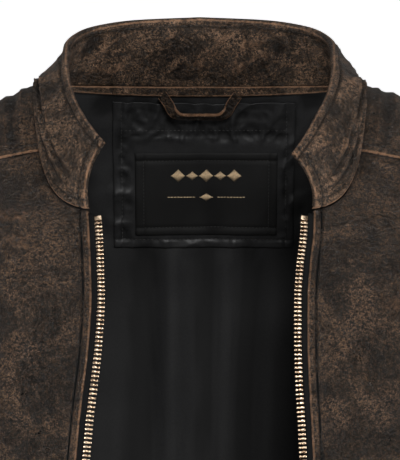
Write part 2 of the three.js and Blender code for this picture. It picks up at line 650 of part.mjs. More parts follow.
SIDES.forEach(([name, side]) => {
  const tape = ringsBetween(HEM + 6, -2).map((h) => {
    const { p, n, inward } = edgeFrame(side, h, false);
    const free = { p: p.clone().addScaledVector(inward, FRONT_ZIP.reveal - GAP), n };
    return [free, ...[0, TAPE_WIDTH - 0.5].map((mm) => torsoPoint(onSide(side, behindEdge(side, h, mm)), h))];
  });
  add("front_zip_tape_" + name, sheet(tape, tapeTop, tapeTop + TAPE), "tape");
  add("front_zip_chain_" + name, chainStrip(side, CHAIN.low, CHAIN.high), "metal");
  add("front_zip_top_stop_" + name, chainStrip(side, CHAIN.high + 0.6, CHAIN.high + 4.5), "metal");
});

// A box between two corners.
function box([x0, x1], [y0, y1], [z0, z1]) {
  return new THREE.BoxGeometry(x1 - x0, y1 - y0, z1 - z0).translate(
    (x0 + x1) / 2, (y0 + y1) / 2, (z0 + z1) / 2,
  );
}
// A flat rectangular ring, or a plate when there is no hole, between two heights.
function plate([x0, x1], [y0, y1], hole, [z0, z1]) {
  const corners = (a, b, c, d) => [[a, c], [b, c], [b, d], [a, d]].map(([x, y]) => new THREE.Vector2(x, y));
  const shape = new THREE.Shape(corners(x0, x1, y0, y1));
  if (hole) shape.holes.push(new THREE.Path(corners(...hole[0], ...hole[1])));
  return new THREE.ExtrudeGeometry(shape, { depth: z1 - z0, bevelEnabled: false }).translate(0, 0, z0);
}

// A zip's frame: x across the chain, y up along it, z outwards.
const zipFrame = (origin, up, out) => {
  const x = up.clone().cross(out).normalize();
  return new THREE.Matrix4().makeBasis(x, up, x.clone().cross(up).normalize()).setPosition(origin);
};

// A slider is two plates, joined by a post between the channels, with a bridge for the pull tab.
// Its walls leave a slot for the tape.
const BRIDGE = { half: 0.75, top: 3.9 };
function slider({ x, post, halfLength, chain, plateThick }) {
  const wall = 1.1;
  const [low, high] = [chain[0] - CLEAR, chain[1] + CLEAR];
  const slot = [chain[0] + 0.35, chain[1] - 0.35];
  const whole = [x[0] - CLEAR - wall, x[1] + CLEAR + wall];
  const along = [-halfLength, halfLength];
  const middle = (whole[0] + whole[1]) / 2;
  const deck = high + plateThick;
  const bar = [middle - BRIDGE.half, middle + BRIDGE.half];
  const parts = [
    box(whole, along, [high, deck]),
    box(whole, along, [low - plateThick, low]),
    box(post.x, post.y, [low - 0.1, high + 0.1]),
    ...[[whole[0], whole[0] + wall], [whole[1] - wall, whole[1]]].flatMap((side) => [
      box(side, along, [slot[1], high + 0.1]),
      box(side, along, [low - 0.1, slot[0]]),
    ]),
    box(bar, [-3.6, -2.6], [deck - 0.1, deck + BRIDGE.top]),
    box(bar, [2.6, 3.6], [deck - 0.1, deck + BRIDGE.top]),
    box(bar, [-3.6, 3.6], [deck + BRIDGE.top - 1, deck + BRIDGE.top]),
  ];
  return { geometry: union(...parts), middle, deck };
}
const place = (geometry, frame) => geometry.applyMatrix4(frame);

// A pull tab hangs from the bridge, through a window near its top. It swings about a pin line
// that runs across it. Where the slider faces downwards, the tab hangs clear of it.
const PIN = { y: -1.5, z: 1.4 };
const hangAngle = (frame) => {
  const [, up, out] = [V(), V(), V()].map((v, i) => v.setFromMatrixColumn(frame, i));
  return Math.max(0, Math.atan2(-out.z, up.z));
};
function pullTab({ middle, deck }, frame, length, width) {
  const tab = plate(
    [middle - width / 2, middle + width / 2], [-length, PIN.y + 0.6],
    [[middle - 1.5, middle + 1.5], [-8, PIN.y - 0.6]], [deck + PIN.z - 0.6, deck + PIN.z + 0.6],
  );
  const pin = [0, PIN.y, deck + PIN.z];
  tab.translate(...pin.map((v) => -v)).rotateX(-hangAngle(frame)).translate(...pin);
  return place(tab, frame);
}
const PARKED = HEM + 31; // height of the front slider, down at the end of its chain
{
  const side = -1; // the slider and the box are on the wearer's right
  const r = FRONT_ZIP.reveal;
  const frameOn = (s, z) => {
    const line = zipLine(s);
    return zipFrame(edgeAt(s, z), line.up, line.out);
  };
  const frame = frameOn(side, PARKED);
  const zs = [-chainTop - FRONT_ZIP.thick, -chainTop];
  const postAt = r + FRONT_ZIP.chain + CLEAR;
  const made = slider({
    x: [r, 2 * postAt + 1.6 - r], // one channel for each side's teeth
    post: { x: [postAt, postAt + 1.6], y: [1, 6] },
    halfLength: 6,
    chain: zs,
    plateThick: FRONT_ZIP.plate,
  });
  add("front_zip_slider", place(made.geometry, frame), "metal");
  add("front_zip_puller", pullTab(made, frame, 34, 7), "metal");
  const boxZ = [zs[0] - 0.8, zs[1] + 0.8];
  add("front_zip_box", place(box([r, r + 10], [0, 9.4], boxZ), frameOn(side, HEM + 14)), "metal");
  add("front_zip_pin", place(box([-r - 2, -r], [0, 9.4], zs), frameOn(1, HEM + 14)), "metal");
}

// ---------- pocket and cuff zips ----------
// A closed zip lying flat in a frame, centred on it. A fine slot down the middle of the chain
// lets the slider's post pass: it stands for the line along which the teeth part.
function smallZip(name, frame, { length, tapeHalf, mid, sliderY, pull }) {
  const half = SMALL_ZIP.chain / 2;
  const reach = length / 2 - 4;
  const chainZ = [mid - SMALL_ZIP.thick / 2, mid + SMALL_ZIP.thick / 2];
  const ends = [-length / 2, length / 2];
  add(
    name + "_tape",
    place(
      plate([-tapeHalf, tapeHalf], ends, [[-half - GAP, half + GAP], [-reach - GAP, reach + GAP]],
        [mid - TAPE / 2, mid + TAPE / 2]),
      frame,
    ),
    "tape",
  );
  const slot = [[-SMALL_ZIP.slot / 2, SMALL_ZIP.slot / 2], [-reach + 2, reach - 2]];
  add(name + "_chain", place(plate([-half, half], [-reach, reach], slot, chainZ), frame), "metal");
  const made = slider({
    x: [-half, half],
    post: { x: [-0.25, 0.25], y: [-1, 1] },
    halfLength: 4,
    chain: chainZ,
    plateThick: SMALL_ZIP.plate,
  });
  const at = frame.clone().multiply(new THREE.Matrix4().makeTranslation(0, sliderY, 0));
  add(name + "_slider", place(made.geometry, at), "metal");
  add(name + "_puller", pullTab(made, at, pull, 6), "metal");
}

SIDES.forEach(([name, side], i) => {
  // Hand pocket: a window in the front panel, framed by a leather welt.
  const angle = onSide(side, POCKET.deg);
  const { p, n } = torsoPoint(angle, POCKET.h);
  const vertical = torso(angle, POCKET.h + 5).sub(torso(angle, POCKET.h - 5)).normalize();
  const inward = vertical.clone().cross(n).normalize().multiplyScalar(-side);
  const up = vertical.multiplyScalar(Math.cos(rad(POCKET.slant)));
  up.addScaledVector(inward, Math.sin(rad(POCKET.slant))).normalize();
  const frame = zipFrame(p, up, n);
  const half = POCKET_ZIP_LENGTH / 2;
  const window = { x: 8.2, y: half + 4.3 };
  const hole = place(box([-window.x, window.x], [-window.y, window.y], [-30, 20]), frame);
  add("front_" + name, cut(frontPanels[i], hole), "leather");
  const mid = -1.3;
  const welt = plate(
    [-window.x + GAP, window.x - GAP], [-window.y + GAP, window.y - GAP],
    [[-5.2, 5.2], [-half - GAP, half + GAP]], [mid - 0.8, mid + 0.8],
  );
  add("pocket_welt_" + name, place(welt, frame), "leather");
  smallZip("pocket_zip_" + name, frame, {
    length: POCKET_ZIP_LENGTH, tapeHalf: 5.2 - GAP, mid, sliderY: half - 11, pull: 26,
  });
  // The bag hangs behind the window from a mouth that is sewn to the welt.
  const mouth = place(
    plate([-6.6, 6.6], [-half - 2, half + 2], [[-5, 5], [-half, half]], [-7.2, mid - 0.8 - GAP]),
    frame,
  );
  const bagRows = [-572, -540, -500, -440, -395].map((b) => ({
    b,
    at: even(POCKET.deg - 11, POCKET.deg + 21, 4).map((deg) => onSide(side, deg)),
  }));
  const bag = sheet(gridOf(torsoPoint, bagRows), 6.0, 7.0);
  add("pocket_bag_" + name, union(mouth, bag), "lining");

  // Cuff zip, in the slit of the back seam of the sleeve.
  const point = sleevePoint(side);
  const seamAngle = 360 - SEAM_ANGLE;
  const [low, high] = [point(seamAngle, 3.99), point(seamAngle, CUFF_SLIT[1])];
  const cuffUp = high.p.clone().sub(low.p);
  const length = cuffUp.length() - 1;
  const centre = low.p.clone().lerp(high.p, 0.5);
  const cuffFrame = zipFrame(centre, cuffUp.normalize(), point(seamAngle, 3.55).n);
  smallZip("cuff_zip_" + name, cuffFrame, {
    length, tapeHalf: SLIT_HALF - 3 * GAP, mid: -LEATHER / 2, sliderY: -length / 2 + 11, pull: 22,
  });
});

// ---------- to the hanger loop ----------
garment.children.forEach((mesh) => mesh.geometry.translate(0, -loopY, -loopFace));

export default garment;
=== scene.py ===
# %% [markdown]
# A leather riding jacket, open at the front, in the shape it keeps on a wearer. The solids of the
# same jacket are already packed as a frame, in metres. This script dresses that frame: it remakes
# each leather, lining and zip piece with its seams, folds, stitches and finish, where the solids
# are. We start by opening the frame and noting the box that the solids fill.
# %% Open the frame
import math

import bmesh
import bpy
import numpy as np
from mathutils import Matrix, Vector


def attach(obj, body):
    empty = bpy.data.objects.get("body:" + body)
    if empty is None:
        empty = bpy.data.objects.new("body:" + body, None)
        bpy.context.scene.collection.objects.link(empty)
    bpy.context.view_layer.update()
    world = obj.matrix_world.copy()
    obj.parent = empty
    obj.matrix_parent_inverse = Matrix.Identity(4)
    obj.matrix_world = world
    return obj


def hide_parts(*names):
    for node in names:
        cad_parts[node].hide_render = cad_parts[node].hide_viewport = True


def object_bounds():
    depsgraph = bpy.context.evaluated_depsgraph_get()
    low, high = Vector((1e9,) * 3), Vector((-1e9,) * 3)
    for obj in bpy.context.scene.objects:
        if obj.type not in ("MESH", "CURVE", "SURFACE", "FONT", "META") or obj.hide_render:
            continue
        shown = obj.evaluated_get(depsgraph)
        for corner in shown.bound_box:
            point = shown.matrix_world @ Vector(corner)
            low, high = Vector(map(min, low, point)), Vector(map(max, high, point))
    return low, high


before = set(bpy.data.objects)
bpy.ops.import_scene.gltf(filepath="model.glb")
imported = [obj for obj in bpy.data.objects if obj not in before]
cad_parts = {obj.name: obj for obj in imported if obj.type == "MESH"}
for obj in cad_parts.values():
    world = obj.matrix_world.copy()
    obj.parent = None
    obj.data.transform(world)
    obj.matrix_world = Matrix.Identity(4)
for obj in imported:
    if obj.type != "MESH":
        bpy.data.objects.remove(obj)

solid_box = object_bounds()
print("solids fill", [[round(v, 3) for v in corner] for corner in solid_box])

# %% [markdown]
# The jacket is looked at from in front and a little above, with a long lens so that the collar and
# the chest fill the view. A plain pale floor lies under the hem. The studio is dim and white with
# soft boxes on both sides, in front and low behind, and a weak one above, because dark leather only
# shows its shape by what shines on it. The floor has a light of its own, as a lit cyclorama has,
# and throws none of it on the jacket.
# %% Camera, floor and light
MM = 0.001
scene = bpy.context.scene
scene.view_settings.view_transform = "Standard"
HOOK = np.array([0.0, 59.0, -22.2])  # the frame's origin, in the garment's own millimetres


def aim(thing, target):
    thing.rotation_euler = (Vector(target) - thing.location).to_track_quat("-Z", "Y").to_euler()


CHEST_IN_VIEW = -90  # the height at the middle of the picture, on the garment's own scale
LOOK_AT = (0.0, -HOOK[1] * MM, (CHEST_IN_VIEW - HOOK[2]) * MM)
DISTANCE, ELEVATION = 2.2, math.radians(5)
SENSOR, LENS = 36, 277.7  # millimetres
WORLD_LIGHT, FLOOR_LIGHT = 0.14, 0.90
camera = bpy.data.objects.new("camera", bpy.data.cameras.new("camera"))
camera.data.sensor_width = SENSOR
camera.data.lens = LENS
camera.location = (
    LOOK_AT[0],
    LOOK_AT[1] - DISTANCE * math.cos(ELEVATION),
    LOOK_AT[2] + DISTANCE * math.sin(ELEVATION),
)
aim(camera, LOOK_AT)
scene.collection.objects.link(camera)
scene.camera = camera

world = bpy.data.worlds.new("studio")
world.use_nodes = True
background = world.node_tree.nodes["Background"].inputs
background["Color"].default_value = (1, 1, 1, 1)
background["Strength"].default_value = WORLD_LIGHT
scene.world = world


def lamp(name, place, target, size, power):
    data = bpy.data.lights.new(name, "AREA")
    data.shape = "RECTANGLE"
    data.size, data.size_y = size
    data.energy = power
    thing = bpy.data.objects.new(name, data)
    thing.location = place
    aim(thing, target)
    scene.collection.objects.link(thing)


for name, place, target, size, power in (
    ("left_softbox", (-1.7, -1.8, -0.35), (0, -0.1, -0.3), (0.6, 0.5), 34),
    ("right_softbox", (1.8, -1.7, -0.35), (0, -0.1, -0.3), (0.6, 0.5), 41),
    ("front_softbox", (0.3, -2.4, 0.9), (0, 0, -0.1), (0.6, 0.5), 34),
    ("top_softbox", (0, -0.9, 1.9), (0, -0.05, -0.1), (1.2, 0.6), 8),
    ("back_softbox", (0.2, 2.4, -0.4), (0, 0, -0.3), (1.2, 0.5), 34),
):
    lamp(name, place, target, size, power)

floor_look = bpy.data.materials.new("pale_floor")
floor_look.use_nodes = True
floor_shader = floor_look.node_tree.nodes["Principled BSDF"].inputs
floor_shader["Base Color"].default_value = (0.9, 0.9, 0.9, 1)
floor_shader["Roughness"].default_value = 0.9
floor_shader["Emission Color"].default_value = (1, 1, 1, 1)
floor_shader["Emission Strength"].default_value = FLOOR_LIGHT
bpy.ops.mesh.primitive_plane_add(size=400, location=(0, 0, solid_box[0][2] - 0.02))
floor = bpy.context.object
floor.name = "floor"
floor.data.materials.append(floor_look)
floor.visible_diffuse = False
floor.visible_glossy = False
print("camera", [round(v, 3) for v in camera.location], "floor at", round(floor.location.z, 3))

# %% [markdown]
# The panels of a jacket are cut from one shape: the body it goes round. So the body is written once
# as a surface with two inputs, and every leather panel, facing and lining is a piece of it. The
# inputs are a ring, named by its height at the side, and an angle round the ring from the centre
# front over the wearer's right side to the centre back and on. Numpy works on whole grids at once.
# %% Curves
HEM, ARMPIT, TIP = -640.0, -255.0, -50.0
NECK_DROP, NECK_HALF, NECK_BACK = 71.5, 102.5, 66.0
CHEST_HALF, SHOULDER_TIP_HALF = 232.0, 222.0
STRAIGHT_FROM = -190.0


def smooth(a, b, x):
    t = np.clip((x - a) / (b - a), 0, 1)
    return t * t * (3 - 2 * t)


def between_ends(t, start, start_pull, end, end_pull):
    """A smooth path from start to end as t goes from 0 to 1, which leaves and arrives as pulled."""
    t2, t3 = t * t, t * t * t
    return (
        start * (2 * t3 - 3 * t2 + 1)
        + start_pull * (t3 - 2 * t2 + t)
        + end * (3 * t2 - 2 * t3)
        + end_pull * (t3 - t2)
    )


def curve(pairs):
    """A smooth curve through [input, value] pairs that never overshoots them."""
    xs, ys = (np.array(v, float) for v in zip(*pairs))
    step = np.diff(ys) / np.diff(xs)
    slope = np.concatenate([[step[0]], np.zeros(len(xs) - 2), [step[-1]]])
    for i in range(1, len(xs) - 1):
        if step[i - 1] * step[i] > 0:
            slope[i] = 2 * step[i - 1] * step[i] / (step[i - 1] + step[i])

    def value(x):
        x = np.asarray(x, float)
        i = np.clip(np.searchsorted(xs, x, side="left") - 1, 0, len(xs) - 2)
        w = xs[i + 1] - xs[i]
        t = np.clip((x - xs[i]) / w, 0, 1)
        return between_ends(t, ys[i], slope[i] * w, ys[i + 1], slope[i + 1] * w)

    return value


half_width = curve([
    (HEM, CHEST_HALF - 6), (-550, CHEST_HALF - 13), (-450, CHEST_HALF - 18),
    (-350, CHEST_HALF - 11), (ARMPIT, CHEST_HALF), (-150, CHEST_HALF + 6), (-100, CHEST_HALF + 3),
    (TIP, SHOULDER_TIP_HALF), (TIP / 2, (SHOULDER_TIP_HALF + NECK_HALF) / 2), (0, NECK_HALF),
])
back_depth = curve([
    (HEM, 112), (-550, 104), (-450, 98), (-350, 106), (ARMPIT, 114), (-150, 110),
    (-100, 102), (TIP, 88), (0, NECK_BACK),
])
squareness = curve([(HEM, 0.16), (ARMPIT, 0.2), (TIP, 0.2), (0, 0.3)])
front_drop = curve([(ARMPIT, 0), (-150, 18), (-100, 32), (TIP, 50), (TIP / 2, 61), (0, NECK_DROP)])
back_drop = curve([(-100, 0), (0, 7)])
edge_half = {
    -1: curve([(-190, 70), (-169, 67.4), (-148, 65), (-121, 63.5), (-100, 64.2), (-82, 65.4), (-69, 66.6)]),
    1: curve([(-190, 64.6), (-169, 63.4), (-144, 62.7), (-121, 62.9), (-100, 64.6), (-82, 67), (-69, 67.6)]),
}
EDGE_FLARE = {-1: 0.09, 1: 0.05}
EDGE_LEAN = 0.01
edge_depth = curve([(-190, 137.5), (-169, 133), (-148, 127), (-121, 116), (-103, 106), (-82, 93), (-69, 84)])
shoulder_seam = curve([(TIP, 72), (0, 64)])
print("half width at the waist", float(half_width(-450)))


# %% The body surface
def sin_cos(deg):
    turn = np.radians(deg)
    return np.sin(turn), np.cos(turn)


def ring_x(deg, h):
    s, c = sin_cos(deg)
    return half_width(h) * s * (1 + squareness(h) * c * c)


def ring_z(deg, h):
    s, c = sin_cos(deg)
    return np.where(c > 0, h - front_drop(h) * (1 - s**7), h - back_drop(h) * c * c)


def edge_line(side, z):
    """How far the front edge lies from the centre, and how far forward, at a height."""
    top = np.maximum(z, STRAIGHT_FROM)
    below = top - z
    return edge_half[side](top) + below * EDGE_FLARE[side], edge_depth(top) + below * EDGE_LEAN


HALVINGS = 34  # rounds of halving an interval, which leaves far less than a hair


def front_of(side, h):
    """The angle of the front edge on each ring, and the depth that carries the ring through it."""
    rings, back = np.unique(np.asarray(h, float), return_inverse=True)
    low, high = np.zeros_like(rings), np.full_like(rings, 80.0)
    for _ in range(HALVINGS):
        mid = (low + high) / 2
        short = ring_x(mid, rings) < edge_line(side, ring_z(mid, rings))[0]
        low, high = np.where(short, mid, low), np.where(short, high, mid)
    s, c = sin_cos(low)
    depth = edge_line(side, ring_z(low, rings))[1] / (c * (1 + squareness(rings) * s * s))
    return low[back].reshape(np.shape(h)), depth[back].reshape(np.shape(h))


def torso(angle, h):
    """Points of the body surface, in garment millimetres."""
    angle, h = np.broadcast_arrays(np.asarray(angle, float), np.asarray(h, float))
    left, deg = half_of(angle)
    s, c = sin_cos(deg)
    front = np.where(left, front_of(1, h)[1], front_of(-1, h)[1])
    depth = np.where(c > 0, front, back_depth(h))
    x = np.where(left, 1, -1) * ring_x(deg, h)
    return np.stack([x, -depth * c * (1 + squareness(h) * s * s), ring_z(deg, h)], -1)


def half_of(angle):
    """Whether an angle lies on the wearer's left, and the angle it has there from the centre front."""
    left = angle > 180
    return left, np.where(left, 360 - angle, angle)


def on_side(side, deg):
    return deg if side < 0 else 360 - deg


def steady(value):
    """A panel's edge that keeps the same input on every row."""
    return lambda rows: value + 0 * rows


def behind_edge(side, h, mm):
    """The angle that lies so many millimetres behind the front edge."""
    return front_of(side, h)[0] + np.degrees(mm / (half_width(h) * (1 + squareness(h))))


def armhole(phi):
    """The armhole, as angle and ring, for a turn round it from its top over the front."""
    s, c = sin_cos(phi)
    up = (1 + c) / 2
    return 90 - 18 * up * up - 32 * s, (ARMPIT + TIP) / 2 + (TIP - ARMPIT) / 2 * c


BACK_SEAM = float(armhole(292.5)[1])
print("back seam at", round(BACK_SEAM), "mm, front edge angle at the chest", front_of(-1, [-150])[0].round(1))

# %% [markdown]
# A sleeve is a tube that leaves the armhole and follows the arm. Its inputs are a turn round the
# arm and a stage along it: 0 at the armhole, 1 at the upper arm, 2 at the elbow, 4 at the cuff.
# %% The sleeve surface
sleeve_x = curve([(1, 292), (2, 311), (3, 318), (4, 320)])
sleeve_y = curve([(1, -4), (2, -6), (3, -24), (4, -52)])
sleeve_z = curve([(1, ARMPIT - 8), (2, ARMPIT - 160), (3, ARMPIT - 285), (4, ARMPIT - 392)])
sleeve_wide = curve([(1, 53), (2, 50), (3, 43), (4, 38)])
sleeve_deep = curve([(1, 70), (2, 64), (3, 55), (4, 47)])
SEAM_ANGLE = 112.5
SLIT_FROM, SLIT_FULL, SLIT_HALF = 3.06, 3.1, 6.8


def unit(v):
    return v / np.linalg.norm(v, axis=-1, keepdims=True)


def arm_centre(v):
    return np.stack([sleeve_x(v), sleeve_y(v), sleeve_z(v)], -1)


def arm_middle(side, v):
    """The middle of the left or right arm, for telling a sleeve's outside from its inside."""
    return arm_centre(np.clip(v, 0.5, 4)) * np.array([side, 1, 1])


def arm_axis(v):
    return unit(arm_centre(np.clip(v + 0.25, 1, 4)) - arm_centre(np.clip(v - 0.25, 1, 4)))


def arm_ring(phi, v):
    axis = arm_axis(v)
    front = unit(np.array([0.0, -1.0, 0.0]) + axis * axis[..., 1:2])
    out = unit(np.cross(axis, front))
    out = out * np.sign(out[..., :1])
    s, c = sin_cos(phi)
    return (
        arm_centre(v)
        + out * (sleeve_wide(v) * c)[..., None]
        + front * (sleeve_deep(v) * s)[..., None]
    )


def sleeve(side, phi, v):
    """Points of a sleeve: down to stage 1 it leads from the armhole to the arm, then it is the arm."""
    phi, v = np.broadcast_arrays(np.asarray(phi, float), np.asarray(v, float))
    flip = np.array([side, 1.0, 1.0])
    s, c = sin_cos(phi)
    deg, ring = armhole(phi)
    leave = unit(np.stack([side * (0.62 + 0.26 * c), -0.25 * s, -(0.68 - 0.2 * c)], -1))
    start = torso(np.where(side < 0, deg, 360 - deg), ring) + leave * 0.7
    first = arm_ring(phi, np.ones_like(v)) * flip
    reach = np.linalg.norm(first - start, axis=-1, keepdims=True)
    t = np.clip(v, 0, 1)[..., None]
    arrive = arm_axis(np.ones_like(v)) * flip
    top = between_ends(t, start, leave * reach, first, arrive * reach)
    return np.where((v < 1)[..., None], top, arm_ring(phi, np.maximum(v, 1)) * flip)


def slit_at(v):
    radius = (sleeve_wide(v) + sleeve_deep(v)) / 2
    return np.degrees(SLIT_HALF / radius) * smooth(SLIT_FROM, SLIT_FULL, v)


print("cuff centre", arm_centre(np.array(4.0)).round())

# %% [markdown]
# The stand collar rises from the neck ring to its own top edge, and bows outwards in between. Its
# front corners sit a little lower on the wearer's left than on the right.
# %% The collar surface
COLLAR_STOPS = [0, 0.086, 0.171, 0.257, 0.343, 0.43, 0.54, 0.68, 0.835, 1]


def top_curve(values):
    return curve(list(zip(COLLAR_STOPS, values)))


collar_top = {
    -1: (top_curve([57.4, 64, 71, 76, 79.6, 82, 82.6, 74, 44, 0]),
         top_curve([-29.6, -22.7, -13.7, -5, 4.5, 14.5, 25, 33.6, 39, 40.8])),
    1: (top_curve([54.8, 63.8, 70.6, 76, 79.8, 82, 82.6, 74, 44, 0]),
        top_curve([-36.6, -25, -14, -5, 4.5, 14.5, 25, 33.6, 39, 40.8])),
}
collar_top_depth = top_curve([-76, -68, -56, -42, -27, -10, 11, 36, 55, 62])
COLLAR_FROM = {side: float(front_of(side, [0.0])[0][0]) for side in (-1, 1)}


def collar(angle, up):
    angle, up = np.broadcast_arrays(np.asarray(angle, float), np.asarray(up, float))
    left, deg = half_of(angle)
    side = np.where(left, 1, -1)
    start = np.where(left, COLLAR_FROM[1], COLLAR_FROM[-1])
    t = np.clip((deg - start) / (180 - start), 0, 1)
    foot = torso(angle, np.zeros_like(angle))
    x = np.where(left, collar_top[1][0](t), collar_top[-1][0](t)) * side
    z = np.where(left, collar_top[1][1](t), collar_top[-1][1](t))
    top = np.stack([x, collar_top_depth(t), z], -1)
    bow = 4 * up * (1 - up)
    away = unit(foot * np.array([1.0, 1.0, 0.0]))
    p = foot + (top - foot) * up[..., None] + away * (3 * bow)[..., None]
    p[..., 0] += side * 3.2 * bow * (1 - smooth(0, 0.12, t))
    return p


print("collar starts at", {k: round(v, 1) for k, v in COLLAR_FROM.items()}, "degrees")

# %% [markdown]
# Leather shows its making at the seams: the edge rolls under, the hide swells beside it and dips
# again under the line of topstitching. Those shapes are only a few millimetres wide, so a panel's
# grid has its lines close together along each edge and wider apart in the middle. The lines are
# placed by real length along the surface, which keeps every seam the same width.
# %% Panel grids
NEAR = np.array([0, 0.35, 0.8, 1.4, 2.2, 3.2, 4.2, 4.9, 5.5, 6.1, 6.9, 8.4, 10.5])
THIN_RIM = (NEAR[:5], NEAR[:5])  # for edges with no topstitching


def place_lines(grid, axis, step, near=(NEAR, NEAR)):
    """Resamples a dense grid along one axis, fine at both ends and even in the middle."""
    g = np.moveaxis(grid, axis, 0)
    seg = np.linalg.norm(np.diff(g[..., :3], axis=0), axis=-1)
    run = np.concatenate([np.zeros((1,) + seg.shape[1:]), np.cumsum(seg, 0)])
    total = run[-1]
    first, last = near
    middle = max(1, int(np.median(total) / step))
    out = np.empty((len(first) + len(last) + middle - 1,) + g.shape[1:])
    for j in range(g.shape[1]):
        squeeze = min(1.0, 0.45 * total[j] / max(first[-1], last[-1], 0.001))
        a, b = first * squeeze, total[j] - last[::-1] * squeeze
        at = np.concatenate([a, np.linspace(a[-1], b[0], middle + 1)[1:-1], b])
        for k in range(g.shape[-1]):
            out[:, j, k] = np.interp(at, run[:, j], g[:, j, k])
    return np.moveaxis(out, 0, axis)


def panel_grid(point, rows, start, end, step=4.0, near_across=(NEAR, NEAR), near_along=(NEAR, NEAR)):
    """Points, inputs and edge distances of a panel: rows of b, from start(b) to end(b)."""
    b = np.asarray(rows, float)
    t = np.linspace(0, 1, 161)
    first, last = np.asarray(start(b), float), np.asarray(end(b), float)
    a = first[:, None] + (last - first)[:, None] * t
    b = b[:, None] + 0 * a
    dense = np.concatenate([point(a, b), a[..., None], b[..., None]], -1)
    return place_lines(place_lines(dense, 0, step, near_along), 1, step, near_across)


def edge_distances(grid):
    """Millimetres from the first column, last column, first row and last row."""
    across = np.linalg.norm(np.diff(grid[..., :3], axis=1), axis=-1)
    along = np.linalg.norm(np.diff(grid[..., :3], axis=0), axis=-1)
    left = np.concatenate([np.zeros((grid.shape[0], 1)), np.cumsum(across, 1)], 1)
    low = np.concatenate([np.zeros((1, grid.shape[1])), np.cumsum(along, 0)], 0)
    return left, left[:, -1:] - left, low, low[-1:] - low


def normals_of(points):
    across = np.gradient(points, axis=1)
    along = np.gradient(points, axis=0)
    return unit(np.cross(across, along))


def hump(d, at, width):
    return np.exp(-(((d - at) / width) ** 2))


# %% Edge styles
# A style gives, for a distance from the edge, how far the surface stands out in millimetres, how
# worn it is from 0 to 1, and how dark with dirt.
GROOVE = 5.5  # the topstitching lies this far from an edge


def groove(d, deep=0.75):
    return -deep * hump(d, GROOVE, 0.8)


def free_edge(d):
    lift = -1.3 * np.exp(-((d / 0.8) ** 1.5)) + 0.4 * hump(d, 2.6, 1.6) + groove(d, 1.3)
    worn = 0.9 * hump(d, 1.0, 0.9) + 0.7 * hump(d, 3.9, 0.8) + 0.6 * hump(d, 7.2, 0.8)
    return lift + 0.45 * hump(d, 7.4, 1.4), worn, hump(d, GROOVE, 1.0)


def over_seam(d):
    """The upper side of a lapped seam: its edge stands on the piece below."""
    lift = 0.9 * smooth(0, 0.9, d) * (1 - smooth(6.5, 13, d)) + groove(d) - 0.3 * hump(d, 0, 0.5)
    return lift, hump(d, 0.7, 0.9) + 0.4 * hump(d, 4.2, 0.7) + 0.3 * hump(d, 6.9, 0.6), hump(d, GROOVE, 0.7)


def under_seam(d):
    return -0.7 * (1 - smooth(0, 3.5, d)), 0.25 * hump(d, 2.6, 1.0), 0.8 * hump(d, 0, 1.2)


def butt_seam(d):
    return -0.9 * hump(d, 0, 0.9) + 0.3 * hump(d, 2.6, 1.5), 0.6 * hump(d, 1.2, 0.9), 0.9 * hump(d, 0, 0.6)


COLLAR_ROLL = 2.1  # half the thickness of the collar, where its two leaves turn in to each other


def rolled_edge(d):
    turn = 1 - np.sqrt(1 - np.clip(1 - d / COLLAR_ROLL, 0, 1) ** 2)
    lift = -COLLAR_ROLL * turn + 0.4 * hump(d, 3.0, 1.3) + groove(d, 1.2) + 0.5 * hump(d, 7.6, 1.4)
    worn = 0.85 * hump(d, 1.0, 0.9) + 0.6 * hump(d, 3.9, 0.7) + 0.5 * hump(d, 7.2, 0.8)
    return lift, worn, hump(d, GROOVE, 0.9)


def cloth_hem(d):
    return 0.35 * smooth(0, 0.5, d) * (1 - smooth(2.0, 3.2, d)), 0 * d, 0.6 * hump(d, 2.9, 0.5)


def no_edge(d):
    return 0 * d, 0 * d, 0 * d


# %% [markdown]
# Folds and creases come from a sum of waves with random directions, drawn once from a fixed seed so
# that each run is the same. Stretching the waves along a direction turns soft dents into folds.
# %% Waves
def waves(points, size, seed, stretch=(1, 1, 1), count=22):
    """A smooth random field, about -1 to 1, whose dents are about `size` millimetres across."""
    draw = np.random.default_rng(seed)
    ways = unit(draw.normal(size=(count, 3))) * draw.uniform(0.7, 1.4, (count, 1))
    shift = draw.uniform(0, 2 * math.pi, count)
    q = points / (np.array(stretch, float) * size) * math.pi
    return np.sin(q @ ways.T + shift).sum(-1) / math.sqrt(count * 0.9)


def no_lower(field, floor):
    """Values under zero are eased so that none goes below minus `floor`."""
    return np.where(field < 0, -floor * np.tanh(-field / floor), field)


def crease(field, sharp=2.0):
    """Turns a soft field into ridges with narrow valleys."""
    return 1 - np.minimum(1, np.abs(field)) ** (1 / sharp)


print("waves run from", waves(np.zeros((1, 3)), 40, 1).round(2))

# %% [markdown]
# A grid of points becomes a mesh with bmesh's grid shape: it makes the faces and a map for cloth patterns,
# and each vertex then moves to its place. Wear, and dirt together with painted shade, travel with the mesh as
# attributes, for the shaders to read: edges and ridges that stand proud of their surroundings are worn,
# stitch lines are dirty, and hollows and shaded places get painted shade, a darker colour in place of the
# shadow there. Solidify gives the sheet its thickness inwards.
# %% From grid to piece
def finish_piece(name, mesh, material, body="jacket"):
    piece = bpy.data.objects.new(name, mesh)
    mesh.materials.append(material)
    mesh.shade_smooth()
    scene.collection.objects.link(piece)
    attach(piece, body)
    return piece


